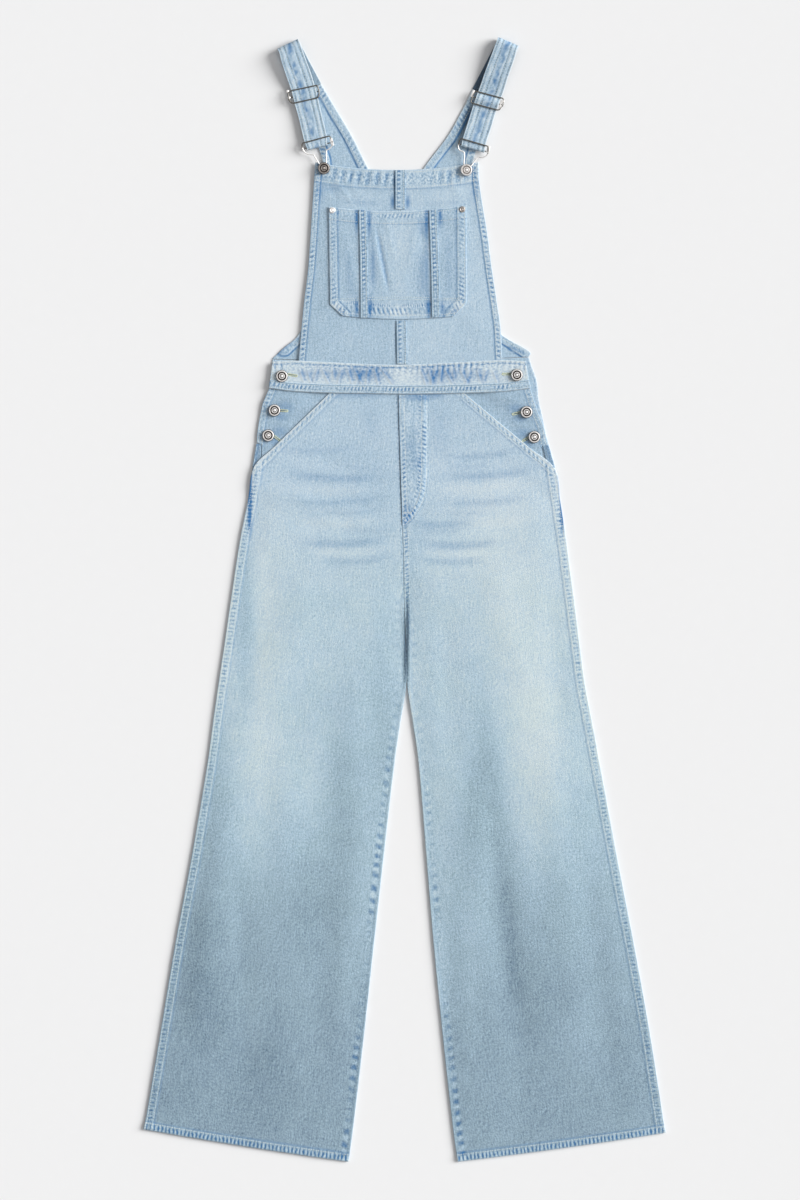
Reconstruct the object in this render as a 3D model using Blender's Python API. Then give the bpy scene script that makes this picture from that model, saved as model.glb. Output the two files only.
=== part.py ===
"""Denim overalls laid flat on their back, with the straps folded over at the shoulders.

X runs across the garment, Y from the hems up to the shoulders, and Z up from the surface
it lies on. Tables and named sizes are in millimetres and the meshes are in metres.
Left and right are as seen from above, with the shoulders at the top.
"""
import math
from collections import namedtuple

import bmesh
import bpy
from mathutils import Vector

MM = 0.001

# Cloth and the room between its layers
CLOTH = 1.2
BINDING = 1.0
GAP = 0.3
HEM_WIDTH = 11.0
HEM_RISE = 0.8
ROW_STEP = 38.0

# Heights of the undersides of the layers
FRONT_BASE = CLOTH + GAP
OVERLAP_BASE = FRONT_BASE + CLOTH + GAP
BIB_BASE = 2.3
BAND_BASE = OVERLAP_BASE + CLOTH + GAP
LEG_AIR = 1.3
BIB_PUFF = 0.7

# Where the cloth is held flat, as the distance or the place where it is held and the one
# where it is free
EDGE_HOLD = (0.0, 46.0)
POCKET_HOLD = (15.0, 46.0)
LEG_WAIST_HOLD = (278.0, 240.0)
HEM_HOLD = (-770.0, -690.0)
HEM_SLACK = 0.4
HIP_EDGE_HOLD = (10.0, 30.0)
HIP_WAIST_HOLD = (288.0, 250.0)
BIB_SIDE_HOLD = (0.0, 40.0)
BIB_TOP_HOLD = (612.0, 560.0)
BIB_WAIST_HOLD = (330.0, 370.0)
BIB_WAIST_LIFT = (362.0, 338.0)

# Places along the length
CROTCH_Y = 3.5
BIB_CENTRE = -6.0

# Straps
STRAP_LIFT = 6.2
STRAP_WALL = CLOTH
TAIL_HEIGHT = 3.5
WRAP_RADIUS = 1.9
BUCKLE_BAR_HEIGHT = 5.4
TAIL_END_HEIGHT = 4.4

# Hardware
WIRE = 1.0
BAR = 0.8
WIRE_SIDES = 8
BUTTON_RADIUS = 8.5
BUTTON_HEIGHT = 3.0
SHANK_RADIUS = 2.5
RIVET_RADIUS = 4.3
RIVET_HEIGHT = 1.6
HOOK_RADIUS = SHANK_RADIUS + GAP + WIRE
HOOK_HEIGHT = 5.7
FRAME_HEIGHT = 8.1
TOP_BAR_HEIGHT = 9.2
CENTRE_BAR_HEIGHT = 6.4
SLIDER_BEND = 2.0
BUCKLE_BEND = 2.5
BEND_STEPS = 2
HOOK_START = 155.0
HOOK_END = 385.0
HOOK_STEPS = 8
SIDE_SHANK = 1.0
BUTTON_SEGMENTS = 20
RIVET_SEGMENTS = 14

# How finely the panels are divided
LEG_COLUMNS = 13
BACK_LEG_STEP = 90.0
BACK_PANEL_STEP = 24.0
HIP_COLUMNS = 5
HIP_STEP = 14.0
FLY_COLUMNS = 3
FLY_STEP = 16.0
BAND_STEP = 30.0
BIB_COLUMNS = 7
BIB_STEP = 10.0
POCKET_COLUMNS = 13
POCKET_STEP = 15.0
STRIP_STEP = 5.0
STRAP_STEP = 9.0
FOLD_STEPS = 8
WRAP_STEPS = 6

SOFT_ANGLE = 35.0
TURNED_ANGLE = 21.0

DENIM = (0.40, 0.53, 0.62)
DENIM_PALE = (0.48, 0.60, 0.66)
DENIM_DEEP = (0.30, 0.43, 0.54)
SILVER = (0.72, 0.70, 0.68)
PEWTER = (0.34, 0.31, 0.29)

# One row per section of a piece: a point on each of its two edges, and how far the
# middle of the section dips below the line between them.
Section = namedtuple("Section", "ax ay bx by dip", defaults=(0.0,))

# Leg sections, outer edge then inner edge. Above the crotch the inner edge is the centre seam.
LEFT_LEG = [
    Section(-219.0, 139.3, -3.3, 100.1),
    Section(-230.3, 83.3, -1.9, 52.5),
    Section(-241.5, 10.5, -0.9, CROTCH_Y),
    Section(-251.3, -56.7, 0.0, -56.7),
    Section(-259.7, -112.7, 2.1, -115.5),
    Section(-268.1, -171.5, -5.6, -171.5),
    Section(-275.1, -224.7, -13.3, -224.7),
    Section(-297.5, -357.7, -28.7, -357.7),
    Section(-319.9, -476.7, -42.7, -483.7),
    Section(-342.3, -609.7, -58.1, -623.7),
    Section(-360.5, -717.5, -72.1, -742.7),
    Section(-362.9, -729.8, -76.4, -774.6, 1.5),
    Section(-365.4, -741.3, -78.4, -786.8, 1.5),
]
RIGHT_LEG = [
    Section(217.7, 139.3, -3.3, 100.1),
    Section(226.1, 83.3, -1.9, 52.5),
    Section(235.9, 10.5, -0.9, CROTCH_Y),
    Section(244.3, -56.7, 4.2, -56.7),
    Section(252.0, -115.5, 5.6, -115.5),
    Section(262.5, -171.5, 11.2, -171.5),
    Section(272.3, -224.7, 18.9, -224.7),
    Section(296.8, -357.7, 30.1, -357.7),
    Section(319.9, -476.7, 40.6, -483.7),
    Section(343.7, -609.7, 54.6, -623.7),
    Section(361.2, -721.7, 67.9, -742.7),
    Section(363.2, -734.5, 72.3, -774.6, 1.5),
    Section(365.4, -746.2, 74.2, -786.8, 1.5),
]

# The top of each front leg: its outer edge is the slanted pocket edge.
LEFT_SLANT = [
    Section(-96.0, 298.0, -9.0, 298.0),
    Section(-124.0, 270.4, -8.6, 259.7),
    Section(-153.5, 241.8, -7.2, 217.7),
    Section(-184.0, 212.2, -5.8, 175.7),
    Section(-211.0, 185.0, -4.4, 135.1),
]
RIGHT_SLANT = [
    Section(73.0, 298.0, -9.0, 298.0),
    Section(108.5, 268.1, -8.6, 259.7),
    Section(139.3, 242.3, -7.2, 217.7),
    Section(174.3, 213.0, -5.8, 175.7),
    Section(210.7, 182.5, -4.4, 135.1),
]

# The top of each back leg, from the waist seam down to where the side opening ends.
LEFT_BACK_HIP = [
    Section(-184.9, 336.0, -8.0, 331.0),
    Section(-188.7, 294.0, -9.0, 286.3),
    Section(-199.0, 264.6, -8.2, 251.3),
    Section(-205.0, 220.5, -7.0, 214.9),
    Section(-212.8, 184.1, -5.6, 175.7),
]
RIGHT_BACK_HIP = [
    Section(174.0, 339.0, -8.0, 331.0),
    Section(178.1, 325.8, -8.2, 318.0),
    Section(184.8, 305.8, -8.8, 298.0),
    Section(187.5, 280.3, -8.6, 272.0),
    Section(191.6, 261.5, -8.2, 251.3),
    Section(198.4, 229.3, -7.0, 214.9),
    Section(211.2, 183.0, -5.6, 175.7),
]

# Each half of the back panel from the waist seam up to the strap: armhole edge, then
# the centre back seam and above it the neckline.
LEFT_BACK = [
    Section(-185.5, 336.6, -8.0, 331.6),
    Section(-168.7, 352.5, -8.0, 356.3),
    Section(-149.1, 370.0, -8.0, 391.3),
    Section(-130.9, 412.3, -8.0, 433.3),
    Section(-118.3, 472.5, -8.0, 482.3),
    Section(-111.3, 528.5, -8.0, 528.5),
    Section(-111.5, 573.3, -32.9, 573.3),
    Section(-115.5, 615.0, -53.0, 608.0),
    Section(-126.0, 646.1, -73.5, 648.6),
    Section(-137.2, 679.0, -95.0, 685.0),
    Section(-145.8, 706.6, -116.7, 722.0),
]
RIGHT_BACK = [
    Section(173.8, 339.7, -8.0, 331.6),
    Section(174.4, 347.1, -8.0, 356.3),
    Section(133.0, 373.7, -8.0, 391.3),
    Section(114.5, 412.3, -8.0, 433.3),
    Section(101.5, 472.5, -8.0, 482.3),
    Section(94.5, 528.5, -8.0, 528.5),
    Section(93.5, 573.3, 8.0, 573.3),
    Section(95.5, 610.0, 29.5, 608.0),
    Section(106.0, 646.1, 60.0, 648.6),
    Section(115.5, 675.0, 80.0, 684.0),
    Section(124.8, 700.4, 95.0, 714.3),
]
NECKLINE_ROW = 5

# Hip panels seen through the slanted pockets: side edge, then the edge under the leg.
LEFT_HIP = [
    Section(-188.9, 303.1, -87.5, 303.1),
    Section(-189.9, 294.0, -97.0, 289.1),
    Section(-198.8, 273.7, -125.3, 258.0),
    Section(-204.0, 248.0, -150.5, 231.0),
    Section(-206.4, 230.3, -168.0, 214.0),
    Section(-206.8, 219.8, -180.0, 209.5),
    Section(-199.7, 216.6, -180.4, 208.2),
    Section(-199.7, 200.0, -190.5, 193.2),
]
RIGHT_HIP = [
    Section(175.2, 303.1, 63.0, 303.1),
    Section(176.7, 293.6, 74.0, 289.0),
    Section(186.1, 264.2, 102.0, 262.0),
    Section(194.7, 242.8, 133.0, 236.0),
    Section(198.0, 229.0, 154.0, 216.0),
    Section(199.4, 218.9, 168.0, 209.0),
    Section(191.8, 215.6, 168.5, 207.8),
    Section(191.4, 201.0, 182.0, 194.0),
]

# The lower end of each side opening: outer edge, then inner edge.
LEFT_PLACKET = [
    Section(-207.5, 218.4, -200.6, 216.8),
    Section(-212.9, 184.5, -200.9, 184.5),
]
RIGHT_PLACKET = [
    Section(201.2, 216.6, 193.0, 215.4),
    Section(210.7, 184.8, 200.5, 184.5),
]

# Front waistband from left to right: top edge, then bottom edge.
WAISTBAND = [
    Section(-184.8, 332.8, -189.8, 295.5),
    Section(-156.1, 334.2, -158.9, 291.2),
    Section(-105.0, 332.0, -105.8, 288.6),
    Section(-55.7, 329.6, -56.7, 288.0),
    Section(-8.5, 328.3, -8.5, 287.0),
    Section(50.4, 330.6, 51.1, 287.6),
    Section(133.0, 335.0, 137.9, 290.6),
    Section(169.6, 333.4, 176.0, 295.4),
]
BAND_STRIP_WIDTH = 11.5
BAND_STRIP_INSET = 0.8

# Bib, left edge then right edge, from the top down to where it goes under the waistband.
BIB = [
    Section(-124.7, 611.6, 103.6, 612.0, 10.8),
    Section(-126.9, 583.1, 104.9, 581.7, 8.0),
    Section(-131.1, 517.3, 116.2, 510.0, 4.0),
    Section(-135.1, 461.3, 122.5, 461.3, 1.0),
    Section(-140.7, 416.0, 129.4, 416.0),
    Section(-144.0, 382.0, 134.2, 382.0),
    Section(-147.7, 340.0, 136.4, 340.0),
    Section(-148.6, 323.0, 137.0, 323.0),
]
BIB_HEM = 26.0
POCKET = [
    Section(-106.4, 549.5, 86.1, 551.6, 7.5),
    Section(-105.6, 500.0, 86.3, 500.0, 4.0),
    Section(-104.9, 455.0, 86.6, 455.0, 2.0),
    Section(-104.3, 413.3, 86.8, 415.1, 2.0),
    Section(-96.0, 405.2, 78.0, 405.7, 3.0),
    Section(-87.5, 396.9, 69.3, 396.2, 4.5),
]
# Narrow lapped strips: left edge, then right edge.
POCKET_STRIP_LEFT = [
    Section(-64.1, 545.3, -53.5, 543.9),
    Section(-62.4, 470.0, -51.8, 470.0),
    Section(-61.6, 394.0, -51.0, 394.0),
]
POCKET_STRIP_RIGHT = [
    Section(34.0, 544.4, 45.2, 545.6),
    Section(36.6, 470.0, 47.8, 470.0),
    Section(38.2, 394.4, 49.4, 394.6),
]
BIB_SEAM_TOP = [
    Section(-13.3, 600.7, 1.0, 600.8),
    Section(-13.0, 545.8, 1.3, 545.8),
]
BIB_SEAM_BOTTOM = [
    Section(-11.6, 389.8, 2.6, 390.0),
    Section(-10.9, 329.4, 3.4, 329.4),
]
FLY = [
    Section(-8.5, 286.4, 34.4, 286.9),
    Section(-6.8, 217.0, 34.4, 217.0),
    Section(-5.5, 175.0, 34.0, 175.0),
    Section(-4.7, 150.0, 32.5, 153.0),
    Section(-4.2, 135.0, 27.5, 135.0),
    Section(-3.7, 120.0, 19.0, 119.5),
    Section(-3.3, 109.0, 8.5, 108.0),
    Section(-3.1, 104.0, 2.0, 103.5),
]

# Large soft folds in the front legs: a line, how wide the fold is and its height.
Fold = namedtuple("Fold", "x0 y0 x1 y1 width height")
FOLDS = [
    Fold(-222.0, -330.0, -224.0, -720.0, 19.0, -1.3),
    Fold(-262.0, -260.0, -292.0, -640.0, 22.0, 1.2),
    Fold(-165.0, -180.0, -168.0, -560.0, 24.0, 1.1),
    Fold(-108.0, -330.0, -122.0, -700.0, 22.0, -1.0),
    Fold(-60.0, -60.0, -96.0, -330.0, 22.0, 1.0),
    Fold(-120.0, 60.0, -200.0, -180.0, 26.0, 0.9),
    Fold(-190.0, 80.0, -228.0, -170.0, 20.0, -0.8),
    Fold(122.0, -200.0, 176.0, -760.0, 20.0, -1.3),
    Fold(80.0, -200.0, 120.0, -640.0, 22.0, 1.1),
    Fold(190.0, -150.0, 236.0, -520.0, 26.0, 1.1),
    Fold(250.0, -330.0, 292.0, -720.0, 20.0, -1.1),
    Fold(52.0, 20.0, 66.0, -260.0, 20.0, -0.9),
    Fold(120.0, 80.0, 170.0, -160.0, 28.0, 0.9),
    Fold(200.0, 60.0, 228.0, -220.0, 18.0, -0.8),
]
WHISKERS = [
    Fold(-190.0, 150.0, -40.0, 118.0, 9.0, 0.45),
    Fold(-170.0, 105.0, -30.0, 92.0, 8.0, -0.4),
    Fold(20.0, 118.0, 180.0, 152.0, 9.0, 0.45),
    Fold(30.0, 92.0, 165.0, 108.0, 8.0, -0.4),
]

# Each strap from the shoulder fold down to the buckle: left edge, right edge and the
# height of the middle of its wall.
StrapSection = namedtuple("StrapSection", "lx ly rx ry z")
Strap = namedtuple("Strap", "back fold front wrap")
LEFT_STRAP = Strap(
    back=StrapSection(-146.1, 707.0, -117.0, 722.5, 0.6),
    fold=StrapSection(-178.1, 770.1, -149.1, 783.9, 13.0),
    front=[
        StrapSection(-172.2, 751.8, -140.6, 762.0, 12.0),
        StrapSection(-165.2, 730.8, -132.6, 740.4, 9.3),
        StrapSection(-160.6, 717.8, -127.6, 725.6, 6.8),
        StrapSection(-158.3, 711.2, -125.5, 718.5, 6.2),
        StrapSection(-156.1, 702.8, -123.0, 710.1, 8.3),
        StrapSection(-154.0, 694.0, -121.1, 701.4, 6.2),
        StrapSection(-147.7, 671.3, -115.9, 679.0, 6.0),
        StrapSection(-139.9, 638.8, -108.8, 646.9, 7.3),
    ],
    wrap=StrapSection(-135.8, 628.5, -107.8, 635.2, BUCKLE_BAR_HEIGHT),
)
RIGHT_STRAP = Strap(
    back=StrapSection(95.1, 714.9, 124.8, 701.0, 0.6),
    fold=StrapSection(131.2, 786.5, 159.7, 774.3, 13.0),
    front=[
        StrapSection(121.8, 762.3, 153.4, 755.0, 12.0),
        StrapSection(112.8, 738.2, 144.6, 730.0, 9.3),
        StrapSection(105.8, 718.4, 138.2, 709.4, 6.8),
        StrapSection(102.9, 710.5, 135.1, 701.8, 6.2),
        StrapSection(99.7, 701.8, 131.8, 692.8, 8.3),
        StrapSection(96.6, 693.1, 128.5, 684.2, 6.2),
        StrapSection(88.5, 667.1, 120.6, 658.3, 6.0),
        StrapSection(81.2, 644.0, 113.2, 634.9, 7.3),
    ],
    wrap=StrapSection(79.0, 634.2, 111.3, 625.1, BUCKLE_BAR_HEIGHT),
)

# Wire paths, as points x, y, z
LEFT_SLIDER = [
    (-159.6, 711.2, FRAME_HEIGHT), (-163.0, 707.6, FRAME_HEIGHT),
    (-161.6, 698.6, FRAME_HEIGHT), (-157.6, 693.4, FRAME_HEIGHT),
    (-120.6, 701.7, FRAME_HEIGHT), (-119.0, 709.6, FRAME_HEIGHT),
    (-122.3, 719.1, FRAME_HEIGHT),
]
LEFT_SLIDER_BAR = [
    (-162.2, 701.4, FRAME_HEIGHT), (-159.2, 702.1, CENTRE_BAR_HEIGHT),
    (-120.7, 710.6, CENTRE_BAR_HEIGHT), (-119.2, 710.9, FRAME_HEIGHT),
]
RIGHT_SLIDER = [
    (99.0, 711.0, FRAME_HEIGHT), (95.0, 704.0, FRAME_HEIGHT),
    (92.8, 694.6, FRAME_HEIGHT), (131.6, 683.9, FRAME_HEIGHT),
    (137.4, 690.4, FRAME_HEIGHT), (138.6, 700.4, FRAME_HEIGHT),
]
RIGHT_SLIDER_BAR = [
    (94.8, 703.2, FRAME_HEIGHT), (96.9, 702.6, CENTRE_BAR_HEIGHT),
    (134.6, 692.0, CENTRE_BAR_HEIGHT), (137.5, 691.2, FRAME_HEIGHT),
]
LEFT_BUCKLE = [
    (-109.5, 628.0, 5.9), (-103.6, 631.4, 6.2), (-100.1, 636.5, 6.8),
    (-104.4, 648.3, TOP_BAR_HEIGHT), (-143.3, 637.6, TOP_BAR_HEIGHT),
    (-143.1, 631.2, 6.9), (-139.4, 624.9, 6.2), (-133.7, 622.2, 5.9),
    (-127.4, 622.6, 5.8), (-122.5, 614.5, HOOK_HEIGHT),
]
LEFT_BUCKLE_BAR = [
    (-143.1, 631.6, 7.0), (-139.8, 630.7, BUCKLE_BAR_HEIGHT),
    (-104.4, 638.8, BUCKLE_BAR_HEIGHT), (-101.0, 638.6, 7.2),
]
RIGHT_BUCKLE = [
    (103.2, 619.6, 5.9), (109.6, 617.8, 6.1), (116.4, 621.6, 6.8),
    (117.3, 633.4, TOP_BAR_HEIGHT), (78.6, 644.7, TOP_BAR_HEIGHT),
    (74.6, 634.8, 6.9), (76.4, 628.4, 6.2), (83.3, 626.2, 5.9),
    (84.0, 618.5, 5.8), (83.0, 611.5, HOOK_HEIGHT),
]
RIGHT_BUCKLE_BAR = [
    (74.9, 635.6, 7.1), (77.6, 637.0, BUCKLE_BAR_HEIGHT),
    (114.6, 626.6, BUCKLE_BAR_HEIGHT), (116.8, 626.4, 7.6),
]

BIB_BUTTONS = {"left": (-112.7, 603.0), "right": (86.6, 600.6)}
SIDE_BUTTONS = {
    "left_top": (-171.5, 312.3), "left_middle": (-181.9, 264.6), "left_bottom": (-190.7, 229.5),
    "right_top": (157.1, 314.0), "right_middle": (170.7, 262.2), "right_bottom": (181.6, 227.4),
}
RIVETS = {"left": (-101.0, 544.4), "right": (80.6, 545.6)}


def clear_scene():
    for item in list(bpy.data.objects):
        bpy.data.objects.remove(item, do_unlink=True)


def material(name, colour, roughness, metallic):
    made = bpy.data.materials.new(name)
    made.use_nodes = True
    shader = made.node_tree.nodes["Principled BSDF"]
    shader.inputs["Base Color"].default_value = (*colour, 1.0)
    shader.inputs["Roughness"].default_value = roughness
    shader.inputs["Metallic"].default_value = metallic
    return made


def cloth_material(name, colour):
    return material(name, colour, 0.9, 0.0)


def metal_material(name, colour):
    return material(name, colour, 0.35, 1.0)


def add_object(name, body, look, sharp_angle=SOFT_ANGLE):
    """Turn a bmesh in millimetres into a named object in metres."""
    bmesh.ops.scale(body, vec=(MM, MM, MM), verts=body.verts)
    bmesh.ops.recalc_face_normals(body, faces=body.faces)
    mesh = bpy.data.meshes.new(name)
    body.to_mesh(mesh)
    body.free()
    mesh.materials.append(look)
    mesh.shade_smooth()
    mesh.set_sharp_from_angle(angle=math.radians(sharp_angle))
    made = bpy.data.objects.new(name, mesh)
    bpy.context.collection.objects.link(made)
    return made


def smoothstep(low, high, value):
    t = min(1.0, max(0.0, (value - low) / (high - low)))
    return t * t * (3.0 - 2.0 * t)


def distance_to_line(x, y, points):
    """Distance from a place to a line through the points."""
    nearest = math.inf
    for (x0, y0), (x1, y1) in zip(points, points[1:]):
        dx, dy = x1 - x0, y1 - y0
        t = ((x - x0) * dx + (y - y0) * dy) / (dx * dx + dy * dy)
        t = min(1.0, max(0.0, t))
        nearest = min(nearest, math.hypot(x - x0 - t * dx, y - y0 - t * dy))
    return nearest


def edge_a(sections):
    return [(row.ax, row.ay) for row in sections]


def edge_b(sections):
    return [(row.bx, row.by) for row in sections]


def fold_height(x, y, folds):
    """Sum of the folds at a place, each fading out towards its two ends."""
    total = 0.0
    for fold in folds:
        dx, dy = fold.x1 - fold.x0, fold.y1 - fold.y0
        length = math.hypot(dx, dy)
        along = ((x - fold.x0) * dx + (y - fold.y0) * dy) / length
        across = ((x - fold.x0) * dy - (y - fold.y0) * dx) / length
        fade = smoothstep(0.0, 0.3 * length, along) * smoothstep(length, 0.7 * length, along)
        total += fold.height * fade * math.exp(-(across / fold.width) ** 2)
    return total


def fill_sections(sections, step):
    """More sections between the given ones, no further apart than step."""
    rows = []
    for first, second in zip(sections, sections[1:]):
        reach = max(math.hypot(second.ax - first.ax, second.ay - first.ay),
                    math.hypot(second.bx - first.bx, second.by - first.by))
        count = max(1, math.ceil(reach / step))
        for index in range(count):
            t = index / count
            rows.append(Section(*(p + (q - p) * t for p, q in zip(first, second))))
    rows.append(sections[-1])
    return rows


def section_point(row, share):
    """A place on a section, at a share of its way from edge a to edge b."""
    x = row.ax + (row.bx - row.ax) * share
    y = row.ay + (row.by - row.ay) * share - row.dip * 4.0 * share * (1.0 - share)
    return x, y


def even_shares(columns):
    def shares(row):
        return [index / columns for index in range(columns + 1)]
    return shares


def hemmed_shares(columns, hem):
    """Columns with two close together where a hem on each edge ends."""
    def shares(row):
        width = math.hypot(row.bx - row.ax, row.by - row.ay)
        first = hem / width
        second = (hem + 2.0) / width
        inner = [second + (1.0 - 2.0 * second) * index / columns for index in range(columns + 1)]
        return [0.0, first] + inner + [1.0 - first, 1.0]
    return shares


def cloth_panel(name, sections, shares, underside, look, wall=CLOTH, rise=None, step=ROW_STEP):
    """A closed wall of cloth through the sections, resting at underside(x, y)."""
    body = bmesh.new()
    top_rows = []
    bottom_rows = []
    for row in fill_sections(sections, step):
        top = []
        bottom = []
        for share in shares(row):
            x, y = section_point(row, share)
            z = underside(x, y)
            extra = rise(x, y) if rise else 0.0
            bottom.append(body.verts.new((x, y, z)))
            top.append(body.verts.new((x, y, z + wall + extra)))
        top_rows.append(top)
        bottom_rows.append(bottom)
    for rows in (top_rows, bottom_rows):
        for near, far in zip(rows, rows[1:]):
            for index in range(len(near) - 1):
                body.faces.new((near[index], near[index + 1], far[index + 1], far[index]))
    for near, far, low_near, low_far in zip(top_rows, top_rows[1:], bottom_rows, bottom_rows[1:]):
        for side in (0, -1):
            body.faces.new((near[side], far[side], low_far[side], low_near[side]))
    for top, bottom in ((top_rows[0], bottom_rows[0]), (top_rows[-1], bottom_rows[-1])):
        for index in range(len(top) - 1):
            body.faces.new((top[index], top[index + 1], bottom[index + 1], bottom[index]))
    return add_object(name, body, look)


def shifted(sections, inner_shift):
    """The same sections with their inner edge moved across by inner_shift."""
    return [row._replace(bx=row.bx + inner_shift) for row in sections]


def on_floor(x, y):
    return 0.0


def make_leg_surface(slant, leg):
    """The underside of a front leg: raised over the pocket and the waist, folded below."""
    outer = edge_a(leg)
    inner = edge_b([row for row in leg if row.by <= CROTCH_Y])
    pocket_edge = edge_a(slant)

    def underside(x, y):
        from_edge = min(distance_to_line(x, y, outer), distance_to_line(x, y, inner))
        loose = smoothstep(*EDGE_HOLD, from_edge)
        air = LEG_AIR * (HEM_SLACK + (1.0 - HEM_SLACK) * smoothstep(*HEM_HOLD, y))
        soft = air + fold_height(x, y, FOLDS) + fold_height(x, y, WHISKERS)
        over_pocket = 1.0 - smoothstep(*POCKET_HOLD, distance_to_line(x, y, pocket_edge))
        at_waist = 1.0 - smoothstep(*LEG_WAIST_HOLD, y)
        lift = (OVERLAP_BASE - FRONT_BASE) * max(over_pocket, at_waist)
        calm = 1.0 - max(over_pocket, at_waist)
        return FRONT_BASE + lift + max(0.0, soft * loose * calm)
    return underside


def leg_hem_rise(x, y, leg):
    hem = [section_point(leg[-1], index / 8.0) for index in range(9)]
    return HEM_RISE * (1.0 - smoothstep(HEM_WIDTH, HEM_WIDTH + 3.0, distance_to_line(x, y, hem)))


def make_hip_surface(slant):
    """The underside of a hip panel: on the back, and lifted to the waistband at its top."""
    pocket_edge = edge_a(slant)

    def underside(x, y):
        clear = smoothstep(*HIP_EDGE_HOLD, distance_to_line(x, y, pocket_edge))
        at_waist = 1.0 - smoothstep(*HIP_WAIST_HOLD, y)
        return FRONT_BASE + (OVERLAP_BASE - FRONT_BASE) * clear * at_waist
    return underside


def bib_underside(x, y):
    from_side = min(distance_to_line(x, y, edge_a(BIB)), distance_to_line(x, y, edge_b(BIB)))
    puff = BIB_PUFF * smoothstep(*BIB_SIDE_HOLD, from_side)
    puff *= smoothstep(*BIB_TOP_HOLD, y) * smoothstep(*BIB_WAIST_HOLD, y)
    return BIB_BASE + (OVERLAP_BASE - BIB_BASE) * smoothstep(*BIB_WAIST_LIFT, y) + puff


def bib_rise(x, y):
    top = [section_point(BIB[0], index / 8.0) for index in range(9)]
    return HEM_RISE * (1.0 - smoothstep(BIB_HEM - 6.0, BIB_HEM + 8.0, distance_to_line(x, y, top)))


def on_bib(x, y):
    return bib_underside(x, y) + CLOTH + bib_rise(x, y) + GAP


def on_pocket(x, y):
    return on_bib(x, y) + CLOTH + GAP


def on_band(x, y):
    return BAND_BASE + CLOTH + GAP


def bib_half(left):
    """One half of the bib, up to the centre seam."""
    rows = []
    for row in BIB:
        share = (BIB_CENTRE - row.ax) / (row.bx - row.ax)
        centre_y = section_point(row, share)[1]
        # a half keeps the part of the dip that its own stretch of the curve has
        edge = (row.ax, row.ay) if left else (row.bx, row.by)
        own = share if left else 1.0 - share
        seam_x = BIB_CENTRE + (-0.5 * GAP if left else 0.5 * GAP)
        rows.append(Section(edge[0], edge[1], seam_x, centre_y, row.dip * own * own))
    return rows


def make_back():
    leg_look = cloth_material("denim_back", DENIM)
    panel_look = cloth_material("denim_inside", DENIM_PALE)
    sides = (
        ("left", LEFT_BACK_HIP + LEFT_LEG, LEFT_BACK, -0.5 * GAP),
        ("right", RIGHT_BACK_HIP + RIGHT_LEG, RIGHT_BACK, 0.5 * GAP),
    )
    for side, leg, panel, shift in sides:
        cloth_panel(f"back_leg_{side}", shifted(leg, shift), even_shares(2), on_floor, leg_look,
                    step=BACK_LEG_STEP)
        armhole = edge_a(panel[1:])
        neckline = edge_b(panel[NECKLINE_ROW:])

        def rise(x, y, armhole=armhole, neckline=neckline):
            near = min(distance_to_line(x, y, armhole), distance_to_line(x, y, neckline))
            return HEM_RISE * (1.0 - smoothstep(HEM_WIDTH, HEM_WIDTH + 2.0, near))
        cloth_panel(f"back_panel_{side}", shifted(panel, shift), hemmed_shares(2, HEM_WIDTH), on_floor,
                    panel_look, rise=rise, step=BACK_PANEL_STEP)


def make_front_legs():
    look = cloth_material("denim_front", DENIM)
    sides = (
        ("left", LEFT_SLANT, LEFT_LEG, -0.5 * GAP),
        ("right", RIGHT_SLANT, RIGHT_LEG, 0.5 * GAP),
    )
    surfaces = {}
    for side, slant, leg, shift in sides:
        surfaces[side] = make_leg_surface(slant, leg)

        def rise(x, y, leg=leg):
            return leg_hem_rise(x, y, leg)
        cloth_panel(f"front_leg_{side}", shifted(slant + leg, shift), even_shares(LEG_COLUMNS),
                    surfaces[side], look, rise=rise)
    return surfaces


def make_hips():
    look = cloth_material("denim_hip", DENIM)
    placket_look = cloth_material("denim_placket", DENIM_DEEP)
    surfaces = {"left": make_hip_surface(LEFT_SLANT), "right": make_hip_surface(RIGHT_SLANT)}
    for side, hip in (("left", LEFT_HIP), ("right", RIGHT_HIP)):
        cloth_panel(f"hip_panel_{side}", hip, even_shares(HIP_COLUMNS), surfaces[side], look,
                    step=HIP_STEP)
    for side, placket in (("left", LEFT_PLACKET), ("right", RIGHT_PLACKET)):
        cloth_panel(f"side_placket_{side}", placket, even_shares(1), lambda x, y: FRONT_BASE,
                    placket_look)
    return surfaces


def make_fly(surface):
    def underside(x, y):
        return surface(x, y) + CLOTH + GAP
    cloth_panel("fly", FLY, even_shares(FLY_COLUMNS), underside,
                cloth_material("denim_fly", DENIM), wall=BINDING, step=FLY_STEP)


def make_waistband():
    cloth_panel("waistband", WAISTBAND, even_shares(2), lambda x, y: BAND_BASE,
                cloth_material("denim_band", DENIM), step=BAND_STEP)
    strip = []
    for row in WAISTBAND:
        height = math.hypot(row.bx - row.ax, row.by - row.ay)
        start = 1.0 - (BAND_STRIP_INSET + BAND_STRIP_WIDTH) / height
        end = 1.0 - BAND_STRIP_INSET / height
        top, bottom = section_point(row, start), section_point(row, end)
        strip.append(Section(*top, *bottom))
    cloth_panel("waistband_strip", strip, even_shares(1), on_band,
                cloth_material("denim_band_strip", DENIM_DEEP), wall=BINDING, step=BAND_STEP)


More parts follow.
